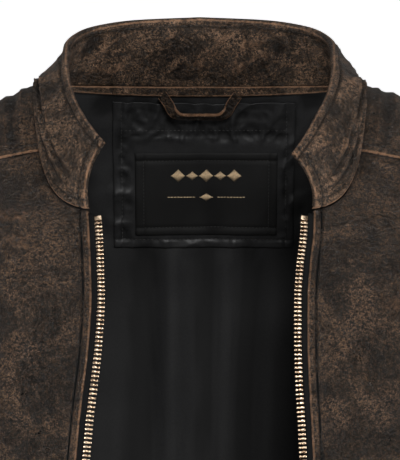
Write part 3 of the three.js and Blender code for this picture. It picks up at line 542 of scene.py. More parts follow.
def grid_mesh(name, points, masks):
    rows, cols = points.shape[:2]
    bm = bmesh.new()
    bm.loops.layers.uv.new("UVMap")
    bmesh.ops.create_grid(bm, x_segments=cols - 1, y_segments=rows - 1, size=1, calc_uvs=True)
    uv = bm.loops.layers.uv.active
    where = np.array([v.co[:2] for v in bm.verts])
    col = np.rint((where[:, 0] + 1) / 2 * (cols - 1)).astype(int)
    row = np.rint((where[:, 1] + 1) / 2 * (rows - 1)).astype(int)
    left, _, low, _ = edge_distances(points)
    metres = (points - HOOK) * MM
    layers = {k: bm.verts.layers.float.new(k) for k in masks}
    for vert, r, c in zip(bm.verts, row, col):
        vert.co = metres[r, c]
        for k, layer in layers.items():
            vert[layer] = masks[k][r, c]
        for loop in vert.link_loops:
            loop[uv].uv = (left[r, c] * MM, low[r, c] * MM)
    bmesh.ops.remove_doubles(bm, verts=bm.verts, dist=1e-6)
    mesh = bpy.data.meshes.new(name)
    bm.to_mesh(mesh)
    bm.free()
    return mesh


def thicken(piece, thickness, inward=True):
    wall = piece.modifiers.new("thickness", "SOLIDIFY")
    wall.thickness = thickness * MM
    wall.offset = -1 if inward else 1
    wall.use_even_offset = False
    wall.use_quality_normals = True
    return piece


def blurred(field, rounds=36):
    """Each value becomes the mean of itself and its four neighbours, a few times over."""
    for _ in range(rounds):
        wide = np.pad(field, 1, mode="edge")
        field = (field + wide[:-2, 1:-1] + wide[2:, 1:-1] + wide[1:-1, :-2] + wide[1:-1, 2:]) / 5
    return field


def sheet_piece(name, node, grid, edges, material, thickness, depth=0.0, fold=None,
                inside=False, centre=None, painted_shade=0.0):
    """A sheet on a grid of the surface. Depth is measured inwards from the surface to the face that
    shows. The edge styles are those of the first and last column and the first and last row."""
    points = grid[..., :3]
    normal = normals_of(points)
    middle = points * np.array([0, 0, 1]) if centre is None else centre
    outward = np.sign(np.mean(np.sum(normal * (points - middle), -1)))
    flip = -outward if inside else outward
    normal = normal * flip
    rims = edge_distances(grid)
    lift = (depth if inside else -depth) + np.zeros(points.shape[:2])
    # The extra darkening passed in is painted shade, for parts that lie in shadow; it joins the dirt of the
    # seams and the painted shade of the hollows.
    wear, dirt = np.zeros_like(lift), np.zeros_like(lift) + painted_shade
    for style, d in zip(edges, rims):
        rise, worn, dark = style(d)
        lift += rise
        wear = np.maximum(wear, worn)
        dirt = np.maximum(dirt, dark)
    if fold is not None:
        bend = fold(points, np.minimum.reduce(rims))
        lift = lift + bend
        proud = bend - blurred(bend)
        wear = np.maximum(wear, 0.6 * smooth(0.05, 0.9, proud))
        # Painted shade: the hollows of the fold are painted darker, in place of the shadow they would cast on
        # themselves.
        dirt = np.maximum(dirt, 0.9 * smooth(0.05, 0.9, -proud))
    moved = points + normal * lift[..., None]
    mesh = grid_mesh(name, moved, {"wear": wear, "dirt": dirt})
    if flip < 0:
        mesh.flip_normals()
    piece = thicken(finish_piece(name, mesh, material), thickness)
    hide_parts(node)
    pieces[name] = (moved, normal)
    return piece


pieces = {}
print("ready to make sheets")

# %% [markdown]
# Shader maths reads best as arithmetic. A small class wraps a node's output, and adding,
# multiplying or comparing it makes the Math node. Any other node comes from one method.
# %% A wrapper for shader sockets
class Shade:
    def __init__(self, tree, socket):
        self.tree, self.socket = tree, socket

    def node(self, kind, settings=None, out=0, **inputs):
        made = self.tree.nodes.new(kind)
        for key, value in (settings or {}).items():
            if key == "stops":
                ramp = made.color_ramp
                while len(ramp.elements) < len(value):
                    ramp.elements.new(0.5)
                for stop, (at, colour) in zip(ramp.elements, value):
                    stop.position, stop.color = at, (*colour, 1)
            else:
                setattr(made, key, value)
        for key, value in inputs.items():
            socket = made.inputs[int(key[1:])] if key[0] == "_" else made.inputs[key.replace("_", " ")]
            if isinstance(value, Shade):
                self.tree.links.new(value.socket, socket)
            else:
                socket.default_value = value
        return Shade(self.tree, made.outputs[out])

    def maths(self, how, *others):
        values = {f"_{i}": v for i, v in enumerate((self, *others))}
        return self.node("ShaderNodeMath", {"operation": how}, **values)

    def __add__(self, other): return self.maths("ADD", other)
    def __mul__(self, other): return self.maths("MULTIPLY", other)
    def __sub__(self, other): return self.maths("SUBTRACT", other)
    def __rsub__(self, other): return (self * -1) + other
    __radd__, __rmul__ = __add__, __mul__

    def between(self, low, high):
        """0 below low, 1 above high, smooth in between."""
        return self.node(
            "ShaderNodeMapRange", {"interpolation_type": "SMOOTHSTEP"},
            Value=self, From_Min=low, From_Max=high,
        )

    def mix(self, first, second):
        """A colour that goes from first to second as this value goes from 0 to 1."""
        return self.node(
            "ShaderNodeMix", {"data_type": "RGBA"}, out=2, _0=self,
            **{f"_{i}": v if isinstance(v, Shade) else (*v, 1) for i, v in ((6, first), (7, second))},
        )


def new_material(name):
    """A material with its own start socket and the surface shader."""
    material = bpy.data.materials.new(name)
    material.use_nodes = True
    tree = material.node_tree
    surface = tree.nodes["Principled BSDF"]
    start = Shade(tree, None)
    return material, surface, start


def darker(colour, share):
    return tuple(v * share for v in colour)


def plug(surface, **values):
    tree = surface.id_data
    for key, value in values.items():
        socket = surface.inputs[key.replace("_", " ")]
        if isinstance(value, Shade):
            tree.links.new(value.socket, socket)
        else:
            socket.default_value = value


# %% [markdown]
# The hide is waxed brown-black cow leather. Handling has rubbed the finish off in fine cracks and on
# everything that stands proud, where the rust-brown under-colour shows. The shader is built up as the finish
# wears down: a dark base in two browns, a net of rust cracks and scuffs that comes and goes in clouds, small
# rust flecks and dark pits, copper where the "wear" attribute says that an edge or ridge is, and near-black
# from the attribute that carries dirt in stitch lines together with painted shade in hollows and shaded
# places. The collar is the part that hands and neck touch most, so it has its own, lighter mix of the same
# colours.
# %% Leather
def make_leather(name, dark, brown, rust, copper, patch_scale):
    material, surface, s = new_material(name)
    where = s.node("ShaderNodeTexCoord", out="Object")

    def cloud(scale, detail=4.0, rough=0.55, twist=0.0):
        return s.node(
            "ShaderNodeTexNoise", Vector=where, Scale=scale, Detail=detail, Roughness=rough, Distortion=twist,
        )

    warp = s.node("ShaderNodeTexNoise", out=1, Vector=where, Scale=170.0, Detail=4.0)
    bent = s.node(
        "ShaderNodeVectorMath", {"operation": "MULTIPLY_ADD"}, _0=warp, _1=(0.012, 0.012, 0.012), _2=where
    )

    def cracks(scale, width):
        """The net of lines between bent cells: 1 on a line, 0 off it."""
        cells = s.node(
            "ShaderNodeTexVoronoi", {"feature": "DISTANCE_TO_EDGE"}, Vector=bent, Scale=scale
        )
        return 1 - cells.between(0.0, width)

    fine_cracks, long_cracks = cracks(400.0, 0.13), cracks(120.0, 0.06)
    patches = cloud(patch_scale, 6.0, 0.62, 0.8).between(0.42, 0.62)
    streaks = cloud(480.0, 6.0, 0.8, 1.6)
    blotch = cloud(210.0, 5.0, 0.7, 0.8)
    wrinkle = cloud(115.0, 4.0, 0.6, 1.2)
    grit = cloud(1250.0, 2.0, 0.7)
    wear = s.node("ShaderNodeAttribute", {"attribute_name": "wear"}, out="Fac")
    dirt = s.node("ShaderNodeAttribute", {"attribute_name": "dirt"}, out="Fac")

    scuffed = streaks.between(0.46, 0.62)
    ridge = wrinkle.between(0.50, 0.64)
    rubbed = (fine_cracks * 0.6 + long_cracks * 0.7 + scuffed * 0.65) * (patches * 0.9 + ridge * 0.3 + 0.15)
    colour = (cloud(15.0, 6.0, 0.65, 0.5).between(0.40, 0.62) * 0.6 + patches * 0.4).mix(dark, brown)
    colour = (rubbed * (blotch.between(0.36, 0.62) * 0.8 + 0.3)).mix(colour, rust)
    fleck = cloud(620.0, 3.0, 0.85, 0.6)
    colour = (fleck.between(0.52, 0.58) * (patches * 0.7 + 0.25)).mix(colour, rust)
    colour = (fleck.between(0.49, 0.43) * (patches * 0.4 + 0.6)).mix(colour, darker(dark, 0.3))
    colour = (grit.between(0.56, 0.44) * 0.5).mix(colour, darker(dark, 0.4))
    worn = (wear * (blotch * 1.5 + streaks * 0.6 - 0.15)).between(0.40, 0.95)
    colour = (worn * 0.9).mix(colour, copper)
    # Dirt in stitch lines, and painted shade in hollows and shaded places.
    colour = (dirt * 0.8).mix(colour, darker(dark, 0.3))
    height = wrinkle * 4.0 + blotch * 2.4 + streaks * 0.9 + fleck * 1.2 + grit * 0.2 - long_cracks * 0.5
    bump = s.node("ShaderNodeBump", {}, Strength=1.0, Distance=0.001, Height=height - fine_cracks * 0.25)
    rough = cloud(60.0, 4.0, 0.6) * 0.2 + 0.20 + rubbed * 0.25
    plug(surface, Base_Color=colour, Roughness=rough, Normal=bump, Specular_IOR_Level=0.42)
    return material


LEATHER_LOOK = make_leather(
    "rub_off_leather", dark=(0.0062, 0.0053, 0.0043), brown=(0.023, 0.0160, 0.0105),
    rust=(0.150, 0.086, 0.048), copper=(0.27, 0.145, 0.080), patch_scale=30.0,
)
COLLAR_LOOK = make_leather(
    "handled_leather", dark=(0.0100, 0.0084, 0.0068), brown=(0.052, 0.0375, 0.0265),
    rust=(0.300, 0.178, 0.106), copper=(0.34, 0.190, 0.110), patch_scale=55.0,
)
print("leather nodes", len(LEATHER_LOOK.node_tree.nodes))

# %% [markdown]
# The lining is black satin. Its threads are far too fine to see one by one; what shows is a soft sheen that
# follows the folds, so the weave is only a faint bump in the cloth's own directions, and the hollows between
# the folds are duller and painted darker, as painted shade. The label, the zip tapes, the threads, the foam
# and the felt are the same cloth shader with other colours and roughness.
# %% Lining, label, tape, metal, foam and felt
def make_cloth(name, colour, rough, weave, depth, sheen=0.0, gloss=0.35):
    material, surface, s = new_material(name)
    uv = s.node("ShaderNodeTexCoord", out="UV")
    where = s.node("ShaderNodeTexCoord", out="Object")
    warp = s.node("ShaderNodeTexWave", {"bands_direction": "X"}, out=1, Vector=uv, Scale=weave)
    weft = s.node("ShaderNodeTexWave", {"bands_direction": "Y"}, out=1, Vector=uv, Scale=weave)
    fleck = s.node("ShaderNodeTexNoise", out=0, Vector=where, Scale=900.0, Detail=3.0)
    soft = s.node("ShaderNodeTexNoise", out=0, Vector=where, Scale=35.0, Detail=3.0)
    height = warp * 0.5 + weft * 0.5 + fleck * 0.5
    bump = s.node("ShaderNodeBump", {}, Strength=0.2, Distance=depth, Height=height)
    tone = fleck.between(0.2, 0.8).mix(darker(colour, 0.8), darker(colour, 1.25))
    # The darkening read here is dirt at seams and painted shade in the hollows of folds and in shaded places.
    hollow = s.node("ShaderNodeAttribute", {"attribute_name": "dirt"}, out="Fac")
    tone = (hollow * 0.9).mix(tone, darker(colour, 0.15))
    plug(
        surface, Base_Color=tone, Roughness=soft * 0.14 + hollow * 0.3 + (rough - 0.07), Normal=bump,
        Specular_IOR_Level=gloss, Sheen_Weight=sheen, Sheen_Roughness=0.4,
    )
    return material


def make_metal(name, bright, dull, rough):
    material, surface, s = new_material(name)
    where = s.node("ShaderNodeTexCoord", out="Object")
    stain = s.node("ShaderNodeTexNoise", out=0, Vector=where, Scale=420.0, Detail=4.0)
    scratch = s.node("ShaderNodeTexNoise", out=0, Vector=where, Scale=2600.0, Detail=2.0)
    tone = stain.between(0.35, 0.62).mix(dull, bright)
    bump = s.node("ShaderNodeBump", {}, Strength=0.15, Distance=0.0002, Height=scratch)
    plug(surface, Base_Color=tone, Roughness=stain * 0.2 + (rough - 0.1), Metallic=1.0, Normal=bump)
    return material


SATIN = make_cloth("black_satin", (0.0190, 0.0190, 0.0195), 0.42, 900.0, 0.0001, 0.03, 0.32)
LABEL_CLOTH = make_cloth("label_cloth", (0.0040, 0.0039, 0.0037), 0.7, 700.0, 0.0002)
TAPE_CLOTH = make_cloth("zip_tape_weave", (0.0035, 0.0035, 0.0035), 0.9, 600.0, 0.0003, 0.0, 0.12)
GOLD = make_metal("antique_gold", (0.80, 0.62, 0.44), (0.42, 0.29, 0.19), 0.30)
THREAD = make_cloth("waxed_thread", (0.030, 0.024, 0.019), 0.6, 900.0, 0.0001)
GOLD_THREAD = make_cloth("gold_thread", (0.66, 0.49, 0.30), 0.5, 900.0, 0.0001)
GREY_THREAD = make_cloth("grey_thread", (0.05, 0.049, 0.047), 0.6, 900.0, 0.0001)
FOAM = make_cloth("armour_foam", (0.035, 0.036, 0.04), 0.85, 400.0, 0.0004)
FELT = make_cloth("stiff_felt", (0.22, 0.20, 0.17), 0.9, 500.0, 0.0004)
print("materials", len(bpy.data.materials))

# %% [markdown]
# Every zip lies in its own small frame: x across the teeth, y up along them and z outwards. The
# same goes for the pocket's window. A matrix takes such local millimetres to the garment's place.
# %% Zip frames
POCKET = {"deg": 50, "h": -485, "slant": 12, "length": 152}
WINDOW = (8.2, POCKET["length"] / 2 + 4.3)  # half its width and half its length
PARKED = HEM + 31  # the front slider's height


def normal_at(surface, a, b, da, db, centre):
    p = surface(np.array([a, a + da, a - da, a, a]), np.array([b, b, b, b + db, b - db]))
    n = unit(np.cross(p[1] - p[2], p[3] - p[4]))
    return p[0], n * np.sign(np.dot(n, p[0] - centre))


def setting(origin, up, out):
    """A matrix that takes local millimetres to metres in the frame."""
    x = unit(np.cross(up, out))
    z = unit(np.cross(x, up))
    turn = Matrix(np.column_stack([x, up, z]).tolist()).to_4x4()
    return Matrix.Translation((np.asarray(origin) - HOOK) * MM) @ turn @ Matrix.Scale(MM, 4)


def edge_point(side, z):
    x, depth = edge_line(side, np.array([z]))
    return np.array([side * float(x[0]), -float(depth[0]), z])


def zip_line(side):
    up = unit(edge_point(side, STRAIGHT_FROM) - edge_point(side, HEM))
    angle = on_side(side, float(front_of(side, [-450.0])[0][0]))
    _, near = normal_at(torso, angle, -450.0, 0.3, 0.5, np.array([0, 0, -450.0]))
    across = unit(np.cross(up, near))
    return up, across, unit(np.cross(across, up))


def pocket_frame(side):
    angle, h = on_side(side, POCKET["deg"]), POCKET["h"]
    p, n = normal_at(torso, angle, h, 0.3, 0.5, np.array([0, 0, h]))
    high, low = torso(angle, np.array([h + 5.0, h - 5.0]))
    vertical = unit(high - low)
    inward = -side * unit(np.cross(vertical, n))
    slant = math.radians(POCKET["slant"])
    return p, unit(vertical * math.cos(slant) + inward * math.sin(slant)), n


def cuff_frame(side):
    seam = 360 - SEAM_ANGLE
    low, high = sleeve(side, np.array([seam, seam]), np.array([3.99, SLIT_FULL]))
    flip = np.array([side, 1, 1])
    _, n = normal_at(lambda a, b: sleeve(side, a, b), seam, 3.55, 0.5, 0.01, arm_centre(3.55) * flip)
    return (low + high) / 2, unit(high - low), n, float(np.linalg.norm(high - low)) - 1


pocket_frames = {side: pocket_frame(side) for side in (-1, 1)}
cuff_frames = {side: cuff_frame(side) for side in (-1, 1)}


def from_window(p):
    """Distance outside the nearest pocket window, on the front of the body."""
    far = np.full(p.shape[:-1], 500.0)
    for origin, up, out in pocket_frames.values():
        x = np.abs((p - origin) @ np.cross(up, out)) - WINDOW[0]
        y = np.abs((p - origin) @ up) - WINDOW[1]
        far = np.minimum(far, np.hypot(np.maximum(x, 0), np.maximum(y, 0)))
    return far


print("pocket frame", [v.round(2) for v in pocket_frames[-1]])

# %% [markdown]
# Soft folds on the body. The back and fronts hang from the shoulders, so their folds run mostly up
# and down and fade near seams and zips. Across the shoulders a few drag lines run from the collar
# towards the arm, and low down the hide has creased where the wearer sits.
# %% Folds of the body


def body_fold(p, rim):
    calm = smooth(3, 30, rim) * smooth(1, 24, from_window(p))
    hang = waves(p, 62, 11, (1, 1, 3.2)) * 1.7 + waves(p, 27, 12, (1, 1, 2.6)) * 0.7
    drag = (crease(waves(p, 36, 13, (2.6, 1.2, 1)), 1.6) - 0.5) * 1.2 * smooth(-180, -60, p[..., 2])
    low = (crease(waves(p, 48, 14, (2.6, 2.6, 1)), 1.4) - 0.5) * 1.6 * (1 - smooth(-560, -380, p[..., 2]))
    small = waves(p, 10, 15, (1.4, 1.4, 1)) * 0.16 + (crease(waves(p, 17, 16, (1.6, 1.6, 1))) - 0.6) * 0.45
    return calm * (hang + drag + low) + small * smooth(1, 8, rim)


def armhole_angle(h, back):
    """The armhole's angle at a ring, on its front or its back half."""
    c = np.clip((h - (ARMPIT + TIP) / 2) / ((TIP - ARMPIT) / 2), -1, 1)
    turn = np.degrees(np.arccos(c))
    return armhole(360 - turn if back else turn)[0]


def side_edge(h, back=False):
    deg = np.where(h < ARMPIT, 90.0, armhole_angle(h, back))
    return np.where(h > TIP, shoulder_seam(h), deg)


RINGS = np.concatenate([
    np.linspace(HEM, ARMPIT, 90, endpoint=False),
    armhole(np.linspace(180, 0, 60, endpoint=False))[1],
    np.linspace(TIP, 0, 30),
])
LEATHER_THICK = 1.2
SIDES = (("right", -1), ("left", 1))
stitch_lines = []  # (piece, points, normals), sewn at the end


def stitch_along(name, *edges):
    """Notes the topstitching grooves that run beside the named edges of a piece."""
    moved, normal = pieces[name]
    k = int(np.flatnonzero(NEAR == GROOVE)[0])
    cut = {"first": np.s_[:, k], "last": np.s_[:, -1 - k], "bottom": np.s_[k], "top": np.s_[-1 - k]}
    for edge in edges:
        stitch_lines.append((name, moved[cut[edge]], normal[cut[edge]]))


def cut_window(piece, matrix):
    """Opens the pocket's window in a front, with extra cuts beside it so that its rim can turn in."""
    bm = bmesh.new()
    bm.from_mesh(piece.data)
    back = matrix.inverted()
    wear = bm.verts.layers.float["wear"]

    def near(margin):
        faces = []
        for f in bm.faces:
            x, y, z = back @ f.calc_center_median()
            if abs(x) < WINDOW[0] + margin and abs(y) < WINDOW[1] + margin and abs(z) < 20:
                faces.append(f)
        return faces

    for margin in (0, 0.8, 1.8, 3.2):
        for axis in (0, 1):
            for sign in (-1, 1):
                faces = near(16)
                geom = list({v for f in faces for v in f.verts}) + list({e for f in faces for e in f.edges})
                place, way = Vector((0, 0, 0)), Vector((0, 0, 0))
                place[axis], way[axis] = sign * (WINDOW[axis] + margin), sign
                bmesh.ops.bisect_plane(
                    bm, geom=geom + faces, dist=1e-7, plane_co=matrix @ place,
                    plane_no=(matrix.to_3x3() @ way).normalized(),
                )
    bmesh.ops.delete(bm, geom=near(0), context="FACES")
    out = (matrix.to_3x3() @ Vector((0, 0, 1))).normalized()
    for v in {v for f in near(8) for v in f.verts}:
        x, y, _ = back @ v.co
        d = math.hypot(max(abs(x) - WINDOW[0], 0), max(abs(y) - WINDOW[1], 0))
        rise, worn, _ = free_edge(np.array(d))
        v.co += out * float(rise) * MM
        v[wear] = max(v[wear], float(worn) * 0.9)
    bm.to_mesh(piece.data)
    bm.free()
    piece.data.shade_smooth()


# %% [markdown]
# The two fronts, the back and its yoke are cut from the body surface and sewn edge to edge. The
# yoke laps over its neighbours, so its edges stand proud and the others lie low beside them.
# %% Body panels
for word, side in SIDES:
    grid = panel_grid(
        torso, RINGS, lambda h: on_side(side, front_of(side, h)[0]), lambda h: on_side(side, side_edge(h)),
    )
    front = sheet_piece(
        "front_leather_" + word, "front_" + word, grid, (free_edge, under_seam, free_edge, under_seam),
        LEATHER_LOOK, LEATHER_THICK, fold=body_fold,
    )
    stitch_along("front_leather_" + word, "first", "bottom")
    cut_window(front, setting(*pocket_frames[side]))


def yoke_fold(grid):
    """Seam allowances inside the neck seam push up two or three ridges beside it on each shoulder."""
    from_neck = edge_distances(grid)[3]
    deg = half_of(grid[..., 3])[1]
    ridges = sum(high * hump(from_neck, at, wide) for at, wide, high in (
        (9, 2.6, 1.0), (14, 2.6, -0.9), (20, 3.4, 0.8), (34, 6.0, -0.7), (46, 7.0, 0.8)))
    at_side = smooth(40, 60, deg) * smooth(120, 96, deg)
    return lambda p, rim: body_fold(p, rim) + 1.2 * ridges * at_side * smooth(3, 9, rim)


for name, node, part, edges in (
    ("back_leather", "back_panel", RINGS[RINGS < BACK_SEAM], (butt_seam, butt_seam, free_edge, under_seam)),
    ("yoke_leather", "back_yoke", RINGS[RINGS > BACK_SEAM], (over_seam, over_seam, over_seam, under_seam)),
):
    part = np.union1d(part, [BACK_SEAM])
    grid = panel_grid(torso, part, lambda h: side_edge(h, True), lambda h: 360 - side_edge(h, True))
    fold = yoke_fold(grid) if node == "back_yoke" else body_fold
    sheet_piece(name, node, grid, edges, LEATHER_LOOK, LEATHER_THICK, fold=fold)
stitch_along("back_leather", "bottom")
stitch_along("yoke_leather", "first", "last", "bottom")
print("body panels", {k: v[0].shape[:2] for k, v in pieces.items()})

# %% [markdown]
# Sleeves crease where the arm bends. At the elbow and above the cuff the creases run round the arm,
# and weaker ones lie below the armpit. Sharp valleys between round ridges read as thick hide, so
# the waves go through the crease curve instead of staying soft.
# %% Sleeve leather


def sleeve_fold(side):
    def fold(p, rim):
        down = -p[..., 2]
        calm = smooth(2, 22, rim)
        round_arm = crease(waves(p, 21, 21 + side, (3.0, 2.0, 1)), 1.5) - 0.55
        soft = waves(p, 34, 24 + side, (1, 1, 1.5)) * 0.8
        fine = waves(p, 8, 27, (2, 1.4, 1)) * 0.15
        elbow = hump(down, 455, 75)
        wrist = smooth(520, 600, down)
        armpit = smooth(60, 140, down) * (1 - smooth(290, 380, down))
        bends = 3.4 * elbow + 2.6 * wrist + 1.6 * armpit
        return calm * (round_arm * bends + soft) + fine * smooth(1, 8, rim)
    return fold


STAGES = np.concatenate([
    np.linspace(0, 1, 40, endpoint=False), np.linspace(1, 3, 60, endpoint=False), np.linspace(3, 4, 50),
])
for word, side in SIDES:
    for part, start, end, edges, sewn in (
        ("upper", lambda v: -SEAM_ANGLE + slit_at(v), steady(SEAM_ANGLE),
         (over_seam, butt_seam, under_seam, free_edge), ("first", "top")),
        ("under", steady(SEAM_ANGLE), lambda v: 360 - SEAM_ANGLE - slit_at(v),
         (butt_seam, over_seam, under_seam, free_edge), ("last", "top")),
    ):
        grid = panel_grid(lambda a, b: sleeve(side, a, b), STAGES, start, end, step=4.5)
        node = f"sleeve_{part}_{word}"
        sheet_piece(
            node + "_leather", node, grid, edges, LEATHER_LOOK, LEATHER_THICK,
            fold=sleeve_fold(side),
            centre=arm_middle(side, grid[..., 4]),
        )
        stitch_along(node + "_leather", *sewn)
print("sleeve panels", pieces["sleeve_upper_right_leather"][0].shape[:2])

# %% [markdown]
# The collar is two leaves of leather with stiff felt between them. At the top edge and at the front
# corners both leaves turn in and meet, so the edge is a soft roll about four millimetres thick with
# a line of topstitching below it. Where the collar bends most, at the sides of the neck, both leaves
# buckle together: in level ridges just above the neck seam, and in a few upright folds.
# %% Collar
COLLAR_HIGH = 52.0  # from the neck seam to the top edge


def collar_wave(grid):
    """How far the whole collar bulges outwards at each point of a grid, in millimetres."""
    p, up = grid[..., :3], grid[..., 4]
    deg = half_of(grid[..., 3])[1]
    at_side = smooth(34, 56, deg) * smooth(112, 92, deg)
    above_seam = up * COLLAR_HIGH + 0.12 * (deg - 62)
    ridges = sum(high * hump(above_seam, at, wide) for at, wide, high in (
        (6.5, 1.6, 1.2), (9.5, 1.3, -1.8), (13, 2.0, 1.6), (17, 1.6, -2.0), (21, 2.4, 1.2)))
    upright = sum(high * hump(deg, at, wide) for at, wide, high in (
        (66, 4.0, -0.7), (74, 4.0, 0.8), (96, 4.0, -0.9), (104, 4.0, 0.6)))
    calm = smooth(0.02, 0.10, up) * (1 - smooth(0.80, 0.95, up)) * smooth(3, 20, deg - 26)
    slow = smooth(0.06, 0.22, up) * (upright + waves(p, 30, 31, (1, 1, 2.0)) * 1.2)
    return calm * (ridges * at_side + slow)


def collar_skin(p, rim):
    slant = p @ np.array([[1, 0, 0.7], [0, 1, 0], [-0.7, 0, 1]])
    pebble = waves(p, 7, 32) * 0.3 + (crease(waves(slant, 15, 33, (0.8, 1, 1.9)), 1.4) - 0.5) * 3.2
    return smooth(3, 12, rim) * no_lower(pebble + waves(slant, 24, 34, (0.8, 1, 2.0)) * 0.9, 0.9)


def collar_grid(low, high=1.0, margin=0.0):
    return panel_grid(
        collar, np.linspace(low, high, 60), steady(COLLAR_FROM[-1] + margin),
        steady(360 - COLLAR_FROM[1] - margin), step=2.4,
    )


FELT_DEPTH = 1.7
grid = collar_grid(0.012)
sheet_piece(
    "collar_outer_leather", "collar_outer", grid, (rolled_edge, rolled_edge, over_seam, rolled_edge),
    COLLAR_LOOK, LEATHER_THICK,
    fold=lambda p, rim: collar_wave(grid) + 0.5 * collar_skin(p, rim) + 0.2 * smooth(3, 14, rim),
)
inner_grid = collar_grid(0.06)
from_front = half_of(inner_grid[..., 3])[1]
sheet_piece(
    "collar_inner_leather", "collar_inner", inner_grid, (rolled_edge, rolled_edge, no_edge, rolled_edge),
    COLLAR_LOOK, LEATHER_THICK, depth=2 * COLLAR_ROLL, inside=True,
    fold=lambda p, rim: -collar_wave(inner_grid) + collar_skin(p, rim) + 1.3 * smooth(3, 14, rim),
    # Painted shade: the inner leaf is painted darker at the sides of the neck, where it lies in shadow.
    painted_shade=0.75 * smooth(60, 90, from_front) * (1 - smooth(112, 146, from_front)),
)
felt_grid = collar_grid(0.07, 0.93, 3.0)
sheet_piece(
    "collar_interlining_felt", "collar_interlining", felt_grid, (no_edge,) * 4, FELT, 1.0,
    depth=FELT_DEPTH, fold=lambda p, rim: collar_wave(felt_grid),
)
stitch_along("collar_outer_leather", "first", "last", "bottom", "top")
stitch_along("collar_inner_leather", "first", "last", "top")
print("collar", pieces["collar_outer_leather"][0].shape[:2])

# %% [markdown]
# A narrow strip of leather covers the neck seam inside, with a turned edge above and below.
# %% Neck binding
BINDING_DEPTH, BINDING_THICK = 6.0, 1.4
BINDING_ENDS = (100, 260)  # angles round the neck
COLLAR_SEEN = 48  # the collar's height inside, from the neck seam


def binding(angle, up):
    p = collar(angle, np.maximum(up, 0))
    p[..., 2] += np.minimum(up, 0) * COLLAR_SEEN
    return p


def turned_edge(d):
    return -0.9 * np.exp(-((d / 0.6) ** 1.5)), hump(d, 0.4, 0.9), 0 * d


grid = panel_grid(
    binding, np.linspace(-0.07, 0.05, 30), *(steady(a) for a in BINDING_ENDS), step=3,
    near_along=THIN_RIM,
)
sheet_piece(
    "neck_binding_strip", "neck_binding", grid, (turned_edge,) * 4, COLLAR_LOOK,
    BINDING_THICK, depth=BINDING_DEPTH, inside=True,
    fold=lambda p, rim: waves(p, 9, 35) * 0.15 * smooth(0, 2, rim),
)
print("binding", pieces["neck_binding_strip"][0].shape[:2])

# %% [markdown]
# The hanger loop is a flat strap. It leaves the seam face on, turns at each corner and lies level
# in the middle, where the hook bears on its upper face. Each step along it is one row of a grid.
# %% Hanger loop
LOOP = {"half": 24, "bottom": 13, "drop": 13, "width": 6.4, "thick": 1.9, "top": -9.2}


def loop_grid():
    drop, half, low = LOOP["drop"], LOOP["half"], LOOP["bottom"]
    stops = [0, 0.16, 0.3, 0.42, 0.58, 0.7, 0.84, 1]
    x = curve(list(zip(stops, [-half, 4 - half, -low - 3, 3 - low, low - 3, low + 3, half - 4, half])))
    z = curve(list(zip(stops, [0, -0.42 * drop, -0.86 * drop, -drop, -drop, -0.86 * drop, -0.42 * drop, 0])))
    level = curve(list(zip(stops, [0, 0.05, 0.4, 0.72, 0.72, 0.4, 0.05, 0])))
    t = np.linspace(0, 1, 61)
    spot = np.stack([x(t), np.full_like(t, HOOK[1]), LOOP["top"] + z(t)], -1)
    along = unit(np.gradient(spot, axis=0))
    up = unit(np.cross(along, [0.0, 1.0, 0.0]))
    up *= np.sign(up[:, 2:])
    turn = (level(t) * math.pi / 2)[:, None]
    wide = up * np.cos(turn) + np.array([0.0, -1.0, 0.0]) * np.sin(turn)
    reach = np.array([-1, -0.94, -0.8, -0.4, 0, 0.4, 0.8, 0.94, 1]) * LOOP["width"] / 2
    return spot[:, None] + wide[:, None] * reach[:, None]


loop_points = loop_grid()
strap = finish_piece(
    "hanger_loop_strap",
    grid_mesh("hanger_loop_strap", loop_points, {
        "wear": np.tile([1, 0.9, 0.25, 0, 0, 0, 0.25, 0.9, 1.0], (61, 1)), "dirt": np.zeros((61, 9)),
    }),
    LEATHER_LOOK,
)
thicken(strap, LOOP["thick"])
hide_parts("hanger_loop")
print("loop reaches down to", round(float(loop_points[..., 2].min() - HOOK[2]), 1))

# %% [markdown]
# Inside the leather hangs a black satin lining, loose except along its rims. It falls in soft
# upright folds, and puckers finely round the label, where it is sewn down. Two deeper folds hang
# from the lower corners of the neck patch, and less light reaches into them.
# %% Lining
FACING_WIDTH, HEM_FACING = 34.0, 40.0
FACING_DEPTH, FACING_THICK = 3.2, 0.8
LINING_TOP, LINING_LOOSE, LINING_THICK = 3.5, 9.5, 0.5
LINING_HEM = HEM + HEM_FACING + 0.5


def lining_depth(angle, h):
    angle, h = np.broadcast_arrays(np.asarray(angle, float), np.asarray(h, float))
    left, deg = half_of(angle)
    rim = np.where(left, behind_edge(1, h, FACING_WIDTH), behind_edge(-1, h, FACING_WIDTH))
    free = smooth(-8, -75, h) * smooth(LINING_HEM, LINING_HEM + 24, h) * smooth(0, 8, deg - rim)
    return LINING_TOP + (LINING_LOOSE - LINING_TOP) * free


LABEL_AREA = ((-42, 50), (-98, -39))  # from left to right, and from bottom to top


def off_label(p):
    """From 0.1 over the label to 1 six millimetres beside it."""
    (x0, x1), (z0, z1) = LABEL_AREA
    x = np.maximum(np.maximum(x0 - p[..., 0], p[..., 0] - x1), 0)
    z = np.maximum(np.maximum(z0 - p[..., 2], p[..., 2] - z1), 0)
    return 0.1 + 0.9 * smooth(0, 6, np.hypot(x, z))


DEEP_FOLDS = ((-34, -15), (33, 16))  # where each starts, and how far off the ridge beside it is


def off_deep_fold(x, z, start):
    """How far a point lies beside one of the two deep folds, which lean a little to one side."""
    return x - start - 0.05 * (z + 107)


